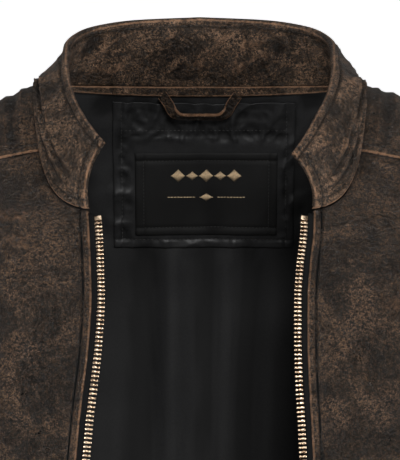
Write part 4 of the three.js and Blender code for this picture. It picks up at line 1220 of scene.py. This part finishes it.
def satin_fold(p, rim=None):
    x, z = p[..., 0], p[..., 2]
    hang = smooth(-20, -120, z) * smooth(HEM + 45, HEM + 90, z)
    at_back = smooth(0, 40, p[..., 1])
    corners = sum(
        -4.0 * hump(off_deep_fold(x, z, start), 0, 9) + 2.6 * hump(x - start + sway, 0, 8)
        for start, sway in DEEP_FOLDS
    ) * smooth(-96, -125, z) * at_back
    wide = waves(p, 36, 41, (1, 1, 4.5)) * 1.8 + waves(p, 15, 42, (1, 1, 5)) * 0.6
    near_neck = smooth(-125, -85, z) * smooth(0, 8, -z) * at_back * off_label(p)
    fine = waves(p, 8, 43, (1, 1, 3)) * 0.12 + waves(p, 20, 44, (2, 2, 1)) * 0.25
    fine = fine + near_neck * (crease(waves(p, 13, 48, (1, 1, 1.6)), 1.5) - 0.5) * 2.6
    calm = 1 if rim is None else smooth(1, 22, rim)
    return no_lower(calm * hang * (wide + corners) + fine * (1 if rim is None else smooth(0, 6, rim)), 1.5)


def fold_shade(grid):
    """How little light reaches the back lining: least in the two deep folds and out at the sides."""
    x, z = grid[..., 0], grid[..., 2]
    sides = 0.5 * smooth(24, 60, np.abs(x - 4))
    deep = sum(0.45 * hump(off_deep_fold(x, z, start), 0, 9) for start, _ in DEEP_FOLDS)
    return np.clip(sides + deep, 0, 0.9) * smooth(-90, -125, z)


def lining_grid(rows, start, end, step=5.0):
    return panel_grid(torso, rows, start, end, step=step, near_across=THIN_RIM, near_along=THIN_RIM)


inner_rows = RINGS[RINGS > LINING_HEM]
grid = lining_grid(inner_rows, lambda h: side_edge(h, True) + 0.7, lambda h: 359.3 - side_edge(h, True))
cloth = sheet_piece(
    "lining_back_satin", "lining_back", grid, (butt_seam, butt_seam, cloth_hem, no_edge), SATIN,
    LINING_THICK, depth=lining_depth(grid[..., 3], grid[..., 4]) + LINING_THICK,
    # Painted shade: the back lining is painted darker in its two deep folds and out at the sides, from
    # fold_shade.
    fold=satin_fold, inside=True, painted_shade=fold_shade(grid),
)


def facing_fold(seed):
    return lambda p, rim: waves(p, 14, seed) * 0.2 * smooth(0, 4, rim)


for word, side in SIDES:
    grid = lining_grid(
        inner_rows, lambda h: on_side(side, behind_edge(side, h, FACING_WIDTH + 0.5)),
        lambda h: on_side(side, side_edge(h) - 0.7),
    )
    cloth = sheet_piece(
        f"lining_front_{word}_satin", "lining_front_" + word, grid,
        (cloth_hem, butt_seam, cloth_hem, no_edge), SATIN, LINING_THICK,
        depth=lining_depth(grid[..., 3], grid[..., 4]) + LINING_THICK, fold=satin_fold, inside=True,
    )
    # The leather facing that backs the front edge.
    grid = panel_grid(
        torso, RINGS, lambda h: on_side(side, behind_edge(side, h, 0.6)),
        lambda h: on_side(side, behind_edge(side, h, FACING_WIDTH)),
    )
    sheet_piece(
        f"front_facing_{word}_leather", "front_facing_" + word, grid, (turned_edge,) * 3 + (no_edge,),
        LEATHER_LOOK, FACING_THICK, depth=FACING_DEPTH, inside=True, fold=facing_fold(45),
    )
grid = panel_grid(
    torso, np.linspace(HEM, HEM + HEM_FACING, 12),
    lambda h: behind_edge(-1, h, FACING_WIDTH + 0.5), lambda h: 360 - behind_edge(1, h, FACING_WIDTH + 0.5),
)
sheet_piece(
    "hem_facing_leather", "hem_facing", grid, (turned_edge,) * 4, LEATHER_LOOK, FACING_THICK,
    depth=FACING_DEPTH, inside=True, fold=facing_fold(46),
)

# %% Sleeve linings and cuff facings
CUFF_FACING_FROM = 3.63
for word, side in SIDES:
    surface = lambda a, b: sleeve(side, a, b)
    grid = panel_grid(
        surface, np.linspace(0.05, CUFF_FACING_FROM - 0.004, 90), steady(0), steady(360),
        step=6, near_across=(NEAR[:1], NEAR[:1]), near_along=THIN_RIM,
    )
    v = grid[..., 4]
    loose = smooth(0, 0.3, v) * smooth(CUFF_FACING_FROM - 0.04, 3.1, v)
    cloth = sheet_piece(
        f"lining_sleeve_{word}_satin", "lining_sleeve_" + word, grid,
        (no_edge, no_edge, cloth_hem, cloth_hem), SATIN, LINING_THICK,
        depth=LINING_TOP + (LINING_LOOSE - LINING_TOP) * loose + LINING_THICK, inside=True,
        fold=lambda p, rim: waves(p, 18, 47, (1, 1, 2.5)) * 0.5,
        centre=arm_middle(side, v),
    )
    open_by = float(slit_at(4.0)) + 5
    grid = panel_grid(
        surface, np.linspace(CUFF_FACING_FROM, 4, 14), steady(-SEAM_ANGLE + open_by),
        steady(360 - SEAM_ANGLE - open_by), near_across=THIN_RIM, near_along=THIN_RIM,
    )
    sheet_piece(
        f"cuff_facing_{word}_leather", "cuff_facing_" + word, grid, (turned_edge,) * 4,
        LEATHER_LOOK, FACING_THICK, depth=FACING_DEPTH, inside=True,
        centre=arm_middle(side, grid[..., 4]),
    )
print("linings done")

# %% [markdown]
# Between leather and lining lie foam protectors, and behind each pocket zip hangs its cloth bag.
# They are out of sight in the finished jacket, yet each is its own piece for whoever takes it apart.
# %% Protectors and pocket bags
PAD_DEPTH, PAD = 2.0, 5.0


def foam_edge(d):
    return -1.6 * hump(d, 0, 1.6), 0 * d, 0 * d


def pad(name, node, surface, rows, low, high, arm_side=None):
    grid = panel_grid(surface, rows, steady(low), steady(high), step=6)
    piece = sheet_piece(
        name, node, grid, (foam_edge,) * 4, FOAM, PAD, depth=PAD_DEPTH,
        fold=lambda p, rim: -0.5 * np.maximum(0, waves(p, 6, 51)) ** 2 * smooth(2, 6, rim),
        centre=None if arm_side is None else arm_middle(arm_side, grid[..., 4]),
    )


pad("back_protector_foam", "back_pad", torso, np.linspace(-365, -155, 60), 153, 207)
for word, side in SIDES:
    arm = lambda a, b: sleeve(side, a, b)
    for part, stages, turns in (("shoulder", (0.3, 1), (-45, 45)), ("elbow", (1.5, 2.5), (-67.5, 22.5))):
        pad(
            f"{part}_protector_{word}_foam", f"{part}_pad_{word}", arm, np.linspace(*stages, 40), *turns,
            side,
        )
    grid = panel_grid(
        torso, np.linspace(-572, -395, 50), steady(on_side(side, POCKET["deg"] - 11)),
        steady(on_side(side, POCKET["deg"] + 21)), step=6, near_across=THIN_RIM, near_along=THIN_RIM,
    )
    bag = sheet_piece(
        f"pocket_bag_{word}_cloth", "pocket_bag_" + word, grid, (cloth_hem,) * 4, SATIN, 1.0,
        depth=6.0, fold=lambda p, rim: waves(p, 24, 52) * 0.3,
    )

# %% [markdown]
# A patch of the same satin strengthens the lining under the neck, and a label is sewn to it. On a
# real jacket its text belongs to a maker, so this one carries plain ornament: inside a border of
# grey stitches, a row of small gold diamonds, and below it a short gold line on each side of one
# more diamond. The patch puckers where it is sewn, and the label's stiffer cloth stays flat.
# %% Neck patch and label


def angle_at(x, h):
    low, high = np.full(np.shape(x), 90.0), np.full(np.shape(x), 180.0)
    for _ in range(HALVINGS):
        mid = (low + high) / 2
        wide = ring_x(mid, h) > np.abs(x)
        low, high = np.where(wide, mid, low), np.where(wide, high, mid)
    return np.where(x < 0, low, 360 - low)


def on_back(x, h):
    x, h = np.broadcast_arrays(np.asarray(x, float), np.asarray(h, float))
    return torso(angle_at(x, h), h)


PATCH_SEAM = -32.5  # a line of stitches above the label


def patch_wrinkle(p):
    slant = p @ np.array([[1, 0, 0.6], [0, 1, 0], [-0.6, 0, 1]])
    pucker = crease(waves(slant, 11, 54, (0.7, 1, 1.6)), 1.6) * 1.4
    pucker = pucker + crease(waves(p, 5.5, 55), 1.5) * 1.2 - 0.9
    return off_label(p) * pucker - 0.6 * hump(p[..., 2], PATCH_SEAM, 1.0)


def patch(name, node, x, h, above, thick, material, slot, edges, step, swell):
    """A cloth patch between two x and two heights, so far above the lining, with so much pucker."""
    rows = np.linspace(h[0], h[1], 60)
    grid = panel_grid(on_back, rows, steady(x[0]), steady(x[1]), step=step)
    depth = lining_depth(angle_at(grid[..., 3], grid[..., 4]), grid[..., 4]) + LINING_THICK + above + thick
    piece = sheet_piece(
        name, node, grid, edges, material, thick, depth=depth, inside=True,
        fold=lambda p, rim: satin_fold(p) + swell * patch_wrinkle(p) * smooth(0, 9, rim),
    )


def sewn_patch(d):
    lift = 0.2 * hump(d, 2.6, 1.6) - 0.35 * hump(d, 0, 0.5) - 0.4 * hump(d, GROOVE, 1.0)
    return lift, 0 * d, 0 * d


patch("neck_patch_satin", "neck_patch", (-56, 61), (-107, -6), 1.3, 0.6, SATIN, "lining",
      (sewn_patch, sewn_patch, sewn_patch, no_edge), 1.7, 1.0)
patch("label_cloth", "label", *LABEL_AREA, 2.3, 0.9, LABEL_CLOTH, "label", (sewn_patch,) * 4, 4, 0.05)

# %% [markdown]
# Small hard parts start as cubes in a zip's own frame, in millimetres, and every edge is bevelled,
# because a cast part has no sharp corners and the bevel is what catches the light.
# %% Building small parts


def edges_of(verts):
    return list({e for v in verts for e in v.link_edges})


def round_off(bm, edges, offset, segments):
    bmesh.ops.bevel(
        bm, geom=edges, offset=offset, segments=segments, profile=0.5, affect="EDGES", material=-1
    )
    bm.verts.ensure_lookup_table()


def block(bm, x, y, z, bevel=0.25, segments=2):
    """A block between two values of x, of y and of z, with its edges rounded off."""
    size = Vector((x[1] - x[0], y[1] - y[0], z[1] - z[0]))
    centre = Vector(((x[0] + x[1]) / 2, (y[0] + y[1]) / 2, (z[0] + z[1]) / 2))
    made = bmesh.ops.create_cube(bm, size=1, matrix=Matrix.LocRotScale(centre, None, size))
    if bevel:
        round_off(bm, edges_of(made["verts"]), bevel, segments)
    bm.verts.ensure_lookup_table()


def hard_piece(name, node, body, matrix, material, build):
    bm = bmesh.new()
    build(bm)
    bmesh.ops.transform(bm, matrix=matrix, verts=bm.verts)
    bmesh.ops.recalc_face_normals(bm, faces=bm.faces)
    mesh = bpy.data.meshes.new(name)
    bm.to_mesh(mesh)
    bm.free()
    piece = finish_piece(name, mesh, material, body)
    mesh.set_sharp_from_angle(angle=math.radians(50))
    if node:
        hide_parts(node)


def repeated(name, seed, places, material, node=None, body="jacket"):
    """One small shape copied to many places, as a single piece."""
    shape = bpy.data.meshes.new("seed")
    bm = bmesh.new()
    seed(bm)
    bm.to_mesh(shape)
    bm.clear()
    for place in places:
        shape.transform(place)
        bm.from_mesh(shape)
        shape.transform(place.inverted())
    mesh = bpy.data.meshes.new(name)
    bm.to_mesh(mesh)
    bm.free()
    bpy.data.meshes.remove(shape)
    piece = finish_piece(name, mesh, material, body)
    if node:
        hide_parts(node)
    print(name, len(places), "copies,", len(mesh.polygons), "faces")


# %% [markdown]
# The front zip is a heavy metal one. A tooth is a flat cast block clamped round the cord on the
# tape's edge, with a small nib at its head that locks under the tooth facing it. One tooth is made
# and copied every 2.6 mm along the edge. The tape is woven, and its corded edge runs under the teeth.
# %% Front zip: teeth, tape and stops
FRONT = {"reveal": 3.0, "chain": 4.6, "pitch": 2.6, "mid": 1.8}
CHAIN_LOW, CHAIN_HIGH = HEM + 24, -8


def edge_path(side, low, high, straight, count=600):
    h = np.linspace(low, high, count)
    deg = front_of(side, h)[0]
    p = torso(on_side(side, deg), h)
    inward = unit(torso(on_side(side, deg - 0.5), h) - torso(on_side(side, deg + 0.5), h))
    hh = np.clip(h, HEM + 0.6, -0.6)
    up = torso(on_side(side, deg), hh + 0.5) - torso(on_side(side, deg), hh - 0.5)
    n = unit(np.cross(inward, up))
    n *= -np.sign(n[:, 1:2])
    if straight:
        _, across, out = zip_line(side)
        bend = smooth(STRAIGHT_FROM, STRAIGHT_FROM + 60, p[:, 2])[:, None]
        inward = unit(inward * bend - side * across * (1 - bend))
        n = unit(n * bend + out * (1 - bend))
    return p, inward, n


def along(points, values, spacing):
    """Evenly spaced samples of values along a path, with the path's direction at each."""
    run = np.concatenate([[0], np.cumsum(np.linalg.norm(np.diff(points, axis=0), axis=1))])
    count = max(1, int(run[-1] / spacing))
    middles = (np.arange(count) + 0.5) * run[-1] / count

    def take(a, at=middles):
        return np.stack([np.interp(at, run, a[:, k]) for k in range(3)], -1)

    ahead = take(points, middles + 0.5) - take(points, middles - 0.5)
    return take(points), unit(ahead), [take(v) for v in values]


def front_tooth(bm):
    reach = FRONT["chain"] / 2
    block(bm, (-reach, 0.35), (-0.78, 0.78), (-1.2, 1.2), 0.42)
    block(bm, (0.1, 1.3), (-0.5, 0.5), (-0.7, 0.7), 0.2, 1)
    block(bm, (reach - 1.45, reach - 0.05), (-0.7, 0.7), (-0.95, 0.95), 0.42)


for word, side in SIDES:
    p, inward, n = edge_path(side, CHAIN_LOW, CHAIN_HIGH, True)
    middle = p + inward * (FRONT["reveal"] + FRONT["chain"] / 2) - n * FRONT["mid"]
    spots, ways, (_, outs) = along(middle, (inward, n), FRONT["pitch"])
    places = []
    for spot, way, out in zip(spots, ways, outs):
        place = setting(spot, way, out)
        places.append(place if side < 0 else place @ Matrix.Rotation(math.pi, 4, "Z"))
    repeated("front_zip_teeth_" + word, front_tooth, places, GOLD, "front_zip_chain_" + word)
    top_p, top_in, top_n = edge_path(side, CHAIN_HIGH + 0.6, CHAIN_HIGH + 4.5, True, 9)
    stop_at = top_p[4] + top_in[4] * (FRONT["reveal"] + FRONT["chain"] / 2) - top_n[4] * FRONT["mid"]
    high = float(np.linalg.norm(top_p[-1] - top_p[0])) / 2
    hard_piece(
        "front_zip_stop_" + word, "front_zip_top_stop_" + word, "jacket",
        setting(stop_at, unit(top_p[-1] - top_p[0]), top_n[4]), GOLD,
        lambda bm: block(bm, (-2.2, 2.2), (-high, high), (-1.2, 1.2), 0.5, 3),
    )
    # The tape runs from its corded edge under the teeth back between the leather and its facing.
    p, inward, n = edge_path(side, HEM + 6, -2, False, 240)
    reach = np.array([2.7, 2.5, 2.1, 1.6, 1.1, 0.5, 0, -3, -7, -11.5])
    h = np.linspace(HEM + 6, -2, 240)
    cols = [
        p + inward * r if r > 0 else torso(on_side(side, behind_edge(side, h, -r)), h) for r in reach
    ]
    lift = np.interp(reach, [-12, 1.0, 1.7, 2.3, 2.7], [0, 0, 0.35, 0.3, -0.1])
    tape = np.stack(cols, 1) - n[:, None] * (1.5 - lift)[:, None]
    masks = {"wear": np.zeros(tape.shape[:2]), "dirt": np.zeros(tape.shape[:2])}
    mesh = grid_mesh("front_zip_tape_cloth_" + word, tape, masks)
    if side > 0:
        mesh.flip_normals()
    piece = thicken(finish_piece("front_zip_tape_cloth_" + word, mesh, TAPE_CLOTH), 0.6)
    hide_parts("front_zip_tape_" + word)

# %% [markdown]
# A slider is two plates joined by a post, with side walls that steer the teeth. Its plates narrow
# towards the foot, and a bridge on the upper one carries the pull tab. The tab is a long tag, rounded
# at its end, with a window for the bridge and a sunk panel on its face.
# %% Sliders and pull tabs
CLEAR, WALL = 0.4, 1.1  # from the teeth to a slider's wall, and the wall's thickness
BRIDGE_TOP, BRIDGE_HALF = 3.9, 3.6
PIN_Y, PIN_RISE = -1.5, 1.4
TAB_HALF_THICK, TAG_FROM = 0.6, -8.0
SHARP = 1.0  # two faces that meet at more radians than this have an edge to round off


def slider_shape(x, post, half_long, chain, plate):
    low, high = chain[0] - CLEAR, chain[1] + CLEAR
    whole = (x[0] - CLEAR - WALL, x[1] + CLEAR + WALL)
    middle, deck = (whole[0] + whole[1]) / 2, high + plate
    waist = 0.86

    def build(bm):
        for z in ((high, deck), (low - plate, low)):
            start = len(bm.verts)
            block(bm, whole, (-half_long, half_long), z, 0)
            made = bm.verts[start:]
            for v in made:
                if v.co.y < 0:
                    v.co.x = middle + (v.co.x - middle) * waist
            upright = [
                e for e in edges_of(made) if abs((e.verts[0].co - e.verts[1].co).z) > plate * 0.9
            ]
            round_off(bm, upright, 1.3, 4)
            rims = [
                e for e in edges_of(bm.verts[start:])
                if len(e.link_faces) == 2 and e.calc_face_angle(0) > SHARP
            ]
            round_off(bm, rims, plate * 0.3, 2)
        block(bm, post["x"], post["y"], (low - 0.1, high + 0.1), 0.1)
        slot = (chain[0] + 0.35, chain[1] - 0.35)
        for a, b in ((whole[0] + 0.15, whole[0] + WALL), (whole[1] - WALL, whole[1] - 0.15)):
            for z in ((slot[1], high + 0.1), (low - 0.1, slot[0])):
                block(bm, (a, b), (-half_long * 0.2, half_long - 0.5), z, 0.12)
        bar = (middle - 0.75, middle + 0.75)
        for y in ((-BRIDGE_HALF, 1 - BRIDGE_HALF), (BRIDGE_HALF - 1, BRIDGE_HALF)):
            block(bm, bar, y, (deck - 0.15, deck + BRIDGE_TOP - 0.5), 0.2)
        block(bm, bar, (-BRIDGE_HALF, BRIDGE_HALF), (deck + BRIDGE_TOP - 1, deck + BRIDGE_TOP), 0.35, 3)
    return build, middle, deck


def tab_shape(middle, deck, long, wide):
    pin = Vector((0, PIN_Y, deck + PIN_RISE))
    half = wide / 2
    top, foot = PIN_Y + 0.6, -long

    def build(bm):
        z = (pin.z - TAB_HALF_THICK, pin.z + TAB_HALF_THICK)
        # The window that rides on the bridge.
        block(bm, (middle - half, middle + half), (PIN_Y - 0.6, top), z, 0.28)
        block(bm, (middle - half, middle - 1.5), (-8.6, top - 0.2), z, 0.28)
        block(bm, (middle + 1.5, middle + half), (-8.6, top - 0.2), z, 0.28)
        # The tag, with round corners and a sunk panel.
        start = len(bm.verts)
        block(bm, (middle - half, middle + half), (foot, TAG_FROM), z, 0)
        upright = [
            e for e in edges_of(bm.verts[start:])
            if abs((e.verts[0].co - e.verts[1].co).z) > 1 and e.verts[0].co.y < foot + 1
        ]
        round_off(bm, upright, half * 0.8, 6)
        faces = list({f for v in bm.verts[start:] for f in v.link_faces})
        for sign in (1, -1):
            face = max(faces, key=lambda f: f.calc_center_median().z * sign if f.is_valid else -99)
            bmesh.ops.inset_region(bm, faces=[face], thickness=0.9, depth=0)
            bmesh.ops.inset_region(bm, faces=[face], thickness=0.25, depth=-0.25)
    return build, pin


def zip_part(name, node, body, matrix, build):
    hard_piece(name, node, body, matrix, GOLD, build)


def slider_with_tab(name, frame_at, long, wide, shape):
    """A slider, and its pull tab as gravity leaves it. Both ride on the bodies named after the zip."""
    build, middle, deck = slider_shape(**shape)
    zip_part(name + "_slider_casting", name + "_slider", name + "_slider", setting(*frame_at), build)
    tab, pin = tab_shape(middle, deck, long, wide)
    _, up, out = frame_at
    hang = max(0.0, math.atan2(-out[2], up[2]))
    swing = Matrix.Translation(pin) @ Matrix.Rotation(-hang, 4, "X") @ Matrix.Translation(-pin)
    zip_part(name + "_pull_tab", name + "_puller", name + "_puller", setting(*frame_at) @ swing, tab)


up, _, out = zip_line(-1)
post_at, post_wide = FRONT["reveal"] + FRONT["chain"] + CLEAR, 1.6
chain_z = (-FRONT["mid"] - 1.2, -FRONT["mid"] + 1.2)
slider_with_tab(
    "front_zip", (edge_point(-1, PARKED), up, out), 34, 7,
    {"x": (FRONT["reveal"], 2 * post_at + post_wide - FRONT["reveal"]),
     "post": {"x": (post_at, post_at + post_wide), "y": (1, 6)},
     "half_long": 6, "chain": chain_z, "plate": 1.1},
)
BOX_AT = HEM + 14  # the foot of the retainer box and of the insertion pin
zip_part(
    "front_zip_retainer_box", "front_zip_box", "jacket", setting(edge_point(-1, BOX_AT), up, out),
    lambda bm: block(bm, (3.05, 12.95), (0.05, 9.35), (chain_z[0] - 0.75, chain_z[1] + 0.75), 0.7, 3),
)
up, _, out = zip_line(1)
zip_part(
    "front_zip_insertion_pin", "front_zip_pin", "jacket", setting(edge_point(1, BOX_AT), up, out),
    lambda bm: block(bm, (-4.95, -3.05), (0.05, 9.35), (chain_z[0] + 0.05, chain_z[1] - 0.05), 0.5, 3),
)

# %% [markdown]
# The pocket and cuff zips are finer and closed. Their teeth come from both sides by turns, and all
# of them stop just short of the middle, along the line where they part.
# %% Pocket and cuff zips
SMALL = {"pitch": 1.15, "plate": 0.9}


def small_tooth(bm):
    block(bm, (-2.15, -0.3), (-0.42, 0.42), (-1.0, 1.0), 0.22, 1)


def ring_of_cloth(half_wide, half_long, hole_wide, hole_long, z, thick):
    def build(bm):
        for sign in (-1, 1):
            x = sorted((sign * hole_wide, sign * half_wide))
            block(bm, x, (-half_long, half_long), (z - thick / 2, z + thick / 2), thick * 0.3)
            y = sorted((sign * hole_long, sign * half_long))
            block(bm, (-hole_wide - 0.3, hole_wide + 0.3), y, (z - thick / 2, z + thick / 2), thick * 0.3)
    return build


def small_zip(name, frame_at, length, tape_half, mid, slider_y, pull):
    matrix = setting(*frame_at)
    reach = length / 2 - 4
    hard_piece(
        name + "_tape_cloth", name + "_tape", "jacket", matrix, TAPE_CLOTH,
        ring_of_cloth(tape_half, length / 2, 1.6, reach + 0.3, mid, 0.6),
    )
    places = []
    for i, y in enumerate(np.arange(-reach + 0.7, reach - 0.5, SMALL["pitch"])):
        turn = Matrix.Rotation(math.pi * (i % 2), 4, "Z")
        places.append(matrix @ Matrix.Translation((0, float(y), mid)) @ turn)
    repeated(name + "_teeth", small_tooth, places, GOLD, name + "_chain")
    origin, up, out = frame_at
    slider_with_tab(
        name, (origin + unit(up) * slider_y, up, out), pull, 6,
        {"x": (-2.2, 2.2), "post": {"x": (-0.25, 0.25), "y": (-1, 1)}, "half_long": 4,
         "chain": (mid - 1.0, mid + 1.0), "plate": SMALL["plate"]},
    )


for word, side in SIDES:
    frame_at = pocket_frames[side]
    half = POCKET["length"] / 2
    hard_piece(
        f"pocket_welt_{word}_leather", "pocket_welt_" + word, "jacket", setting(*frame_at),
        LEATHER_LOOK,
        ring_of_cloth(WINDOW[0] - 0.3, WINDOW[1] - 0.3, 5.2, half + 0.3, -1.3, 1.6),
    )
    small_zip(f"pocket_zip_{word}", frame_at, POCKET["length"], 4.9, -1.3, half - 11, 26)
    hard_piece(
        f"pocket_mouth_{word}_cloth", None, "jacket", setting(*frame_at), SATIN,
        ring_of_cloth(6.6, half + 2, 5.0, half, -4.8, 4.6),
    )
    *cuff, long = cuff_frames[side]
    small_zip(f"cuff_zip_{word}", tuple(cuff), long, SLIT_HALF - 0.9, -LEATHER_THICK / 2, -long / 2 + 11, 22)

# %% [markdown]
# Topstitching is thick waxed thread. Each stitch is a short rounded bead that dips into the leather
# at both ends, and one bead is copied along every groove noted so far.
# %% Stitching
STITCH = 3.3  # from one stitch to the next
HEAVY_BEAD, FINE_BEAD, BORDER_BEAD = (2.5, 0.75, 0.7), (1.9, 0.45, 0.4), (1.6, 0.4, 0.35)
BESIDE_WINDOW = 3.4  # from a pocket's window to the stitches round it


def bead(length, width, high):
    def build(bm):
        made = bmesh.ops.create_icosphere(bm, subdivisions=1, radius=0.5)
        bmesh.ops.scale(bm, vec=(width, length, high), verts=made["verts"])
    return build


def sew(name, lines, thread, pitch=STITCH, size=HEAVY_BEAD, rise=0.1):
    places = []
    for points, normals in lines:
        spots, ways, (outs,) = along(points, (normals,), pitch)
        places += [setting(s + unit(o) * rise, w, unit(o)) for s, w, o in zip(spots, ways, outs)]
    repeated(name, bead(*size), places, thread)


for name in dict.fromkeys(line[0] for line in stitch_lines):
    sew(name + "_stitching", [line[1:] for line in stitch_lines if line[0] == name], THREAD)
for word, side in SIDES:
    corners = [
        np.array([sx * (WINDOW[0] + BESIDE_WINDOW), sy * (WINDOW[1] + BESIDE_WINDOW)])
        for sx, sy in ((-1, -1), (1, -1), (1, 1), (-1, 1), (-1, -1))
    ]
    lines = []
    origin, up, out = pocket_frames[side]
    x = np.cross(up, out)
    for a, b in zip(corners, corners[1:]):
        flat = a + (b - a) * np.linspace(0, 1, 60)[:, None]
        points = origin + flat[:, :1] * x + flat[:, 1:] * up
        lines.append((points, np.tile(out, (60, 1))))
    front = bpy.data.objects["front_leather_" + word]
    snapped = []
    for points, normals in lines:
        moved = []
        for p in points:
            start = Vector((p + out * 12 - HOOK) * MM)
            hit, place, _, _ = front.ray_cast(start, Vector(-out))
            moved.append(np.array(place) / MM + HOOK if hit else p)
        snapped.append((np.array(moved), normals))
    sew(f"pocket_{word}_stitching", snapped, THREAD)

# %% [markdown]
# The patch and the label are sewn through the satin with finer grey thread, and the ornament on
# the label is embroidered: thin lines of gold thread, and diamonds of satin stitches.
# %% Sewing on the patch and label


def patch_lines(name):
    """The stitch grooves down both sides and along the foot of a patch, and the one along its top."""
    moved, normal = pieces[name]
    k = int(np.flatnonzero(NEAR == GROOVE)[0])
    inner = [(moved[k:-k, k], normal[k:-k, k]), (moved[k:-k, -1 - k], normal[k:-k, -1 - k])]
    return inner + [(moved[k, k:-k], normal[k, k:-k])], (moved[-1 - k, k:-k], normal[-1 - k, k:-k])


lines, _ = patch_lines("neck_patch_satin")
sew("neck_patch_satin_stitching", lines, GREY_THREAD, 2.6, FINE_BEAD)
lines, top = patch_lines("label_cloth")
sew("label_border_stitching", lines + [top], GREY_THREAD, 2.2, BORDER_BEAD)


def patch_spot(name, x, h):
    """A point on a patch's face, its upward direction and its outward one, at a place on the back."""
    moved, normal = pieces[name]
    flat = moved.reshape(-1, 3)

    def nearest(z):
        return int(np.argmin((flat[:, 0] - x) ** 2 + (flat[:, 2] - z) ** 2))

    low, spot, high = nearest(h - 4), nearest(h), nearest(h + 4)
    slope = (flat[high, 1] - flat[low, 1]) / (flat[high, 2] - flat[low, 2])
    y = flat[spot, 1] + slope * (h - flat[spot, 2])
    return np.array([x, y, h]), unit(np.array([0, slope, 1.0])), normal.reshape(-1, 3)[spot]


def embroidered_line(name, h, x0, x1, pitch=2.0, rise=0.15):
    places = []
    for x in np.arange(x0, x1 + 0.1, pitch):
        spot, _, n = patch_spot(name, x, h)
        places.append(setting(spot + n * rise, np.array([1.0, 0, 0]), n))
    return places


def embroidered_diamond(x, h, half_wide, half_high):
    places = []
    for k in np.arange(-half_wide, half_wide + 0.01, 0.5):
        spot, up, n = patch_spot("label_cloth", x + k, h)
        high = max(0.3, half_high * (1 - abs(k) / half_wide))
        places.append(setting(spot + n * 0.15, up, n) @ Matrix.Diagonal((1, high, 1, 1)))
    return places


LABEL_X = 4  # the label's middle
ROW_HEIGHT, LINE_HEIGHT = -62, -76  # of the row of diamonds, and of the lines below it
sew_line = embroidered_line("neck_patch_satin", PATCH_SEAM, -50, 55, 2.6)
repeated("neck_patch_seam_stitching", bead(*FINE_BEAD), sew_line, GREY_THREAD)
lines = [
    place for x0, x1 in ((-24, -8), (8, 24)) for place in
    embroidered_line("label_cloth", LINE_HEIGHT, LABEL_X + x0, LABEL_X + x1)
]
repeated("label_lines_embroidery", bead(2.3, 0.7, 0.45), lines, GOLD_THREAD)
diamonds = embroidered_diamond(LABEL_X, LINE_HEIGHT, 4.0, 3.2)
for k in range(-2, 3):
    wide, high = (3.6, 3.6) if k % 2 else (4.4, 5.2)
    diamonds += embroidered_diamond(LABEL_X + 9 * k, ROW_HEIGHT, wide, high)
repeated("label_diamond_embroidery", bead(2.0, 0.62, 0.5), diamonds, GOLD_THREAD)
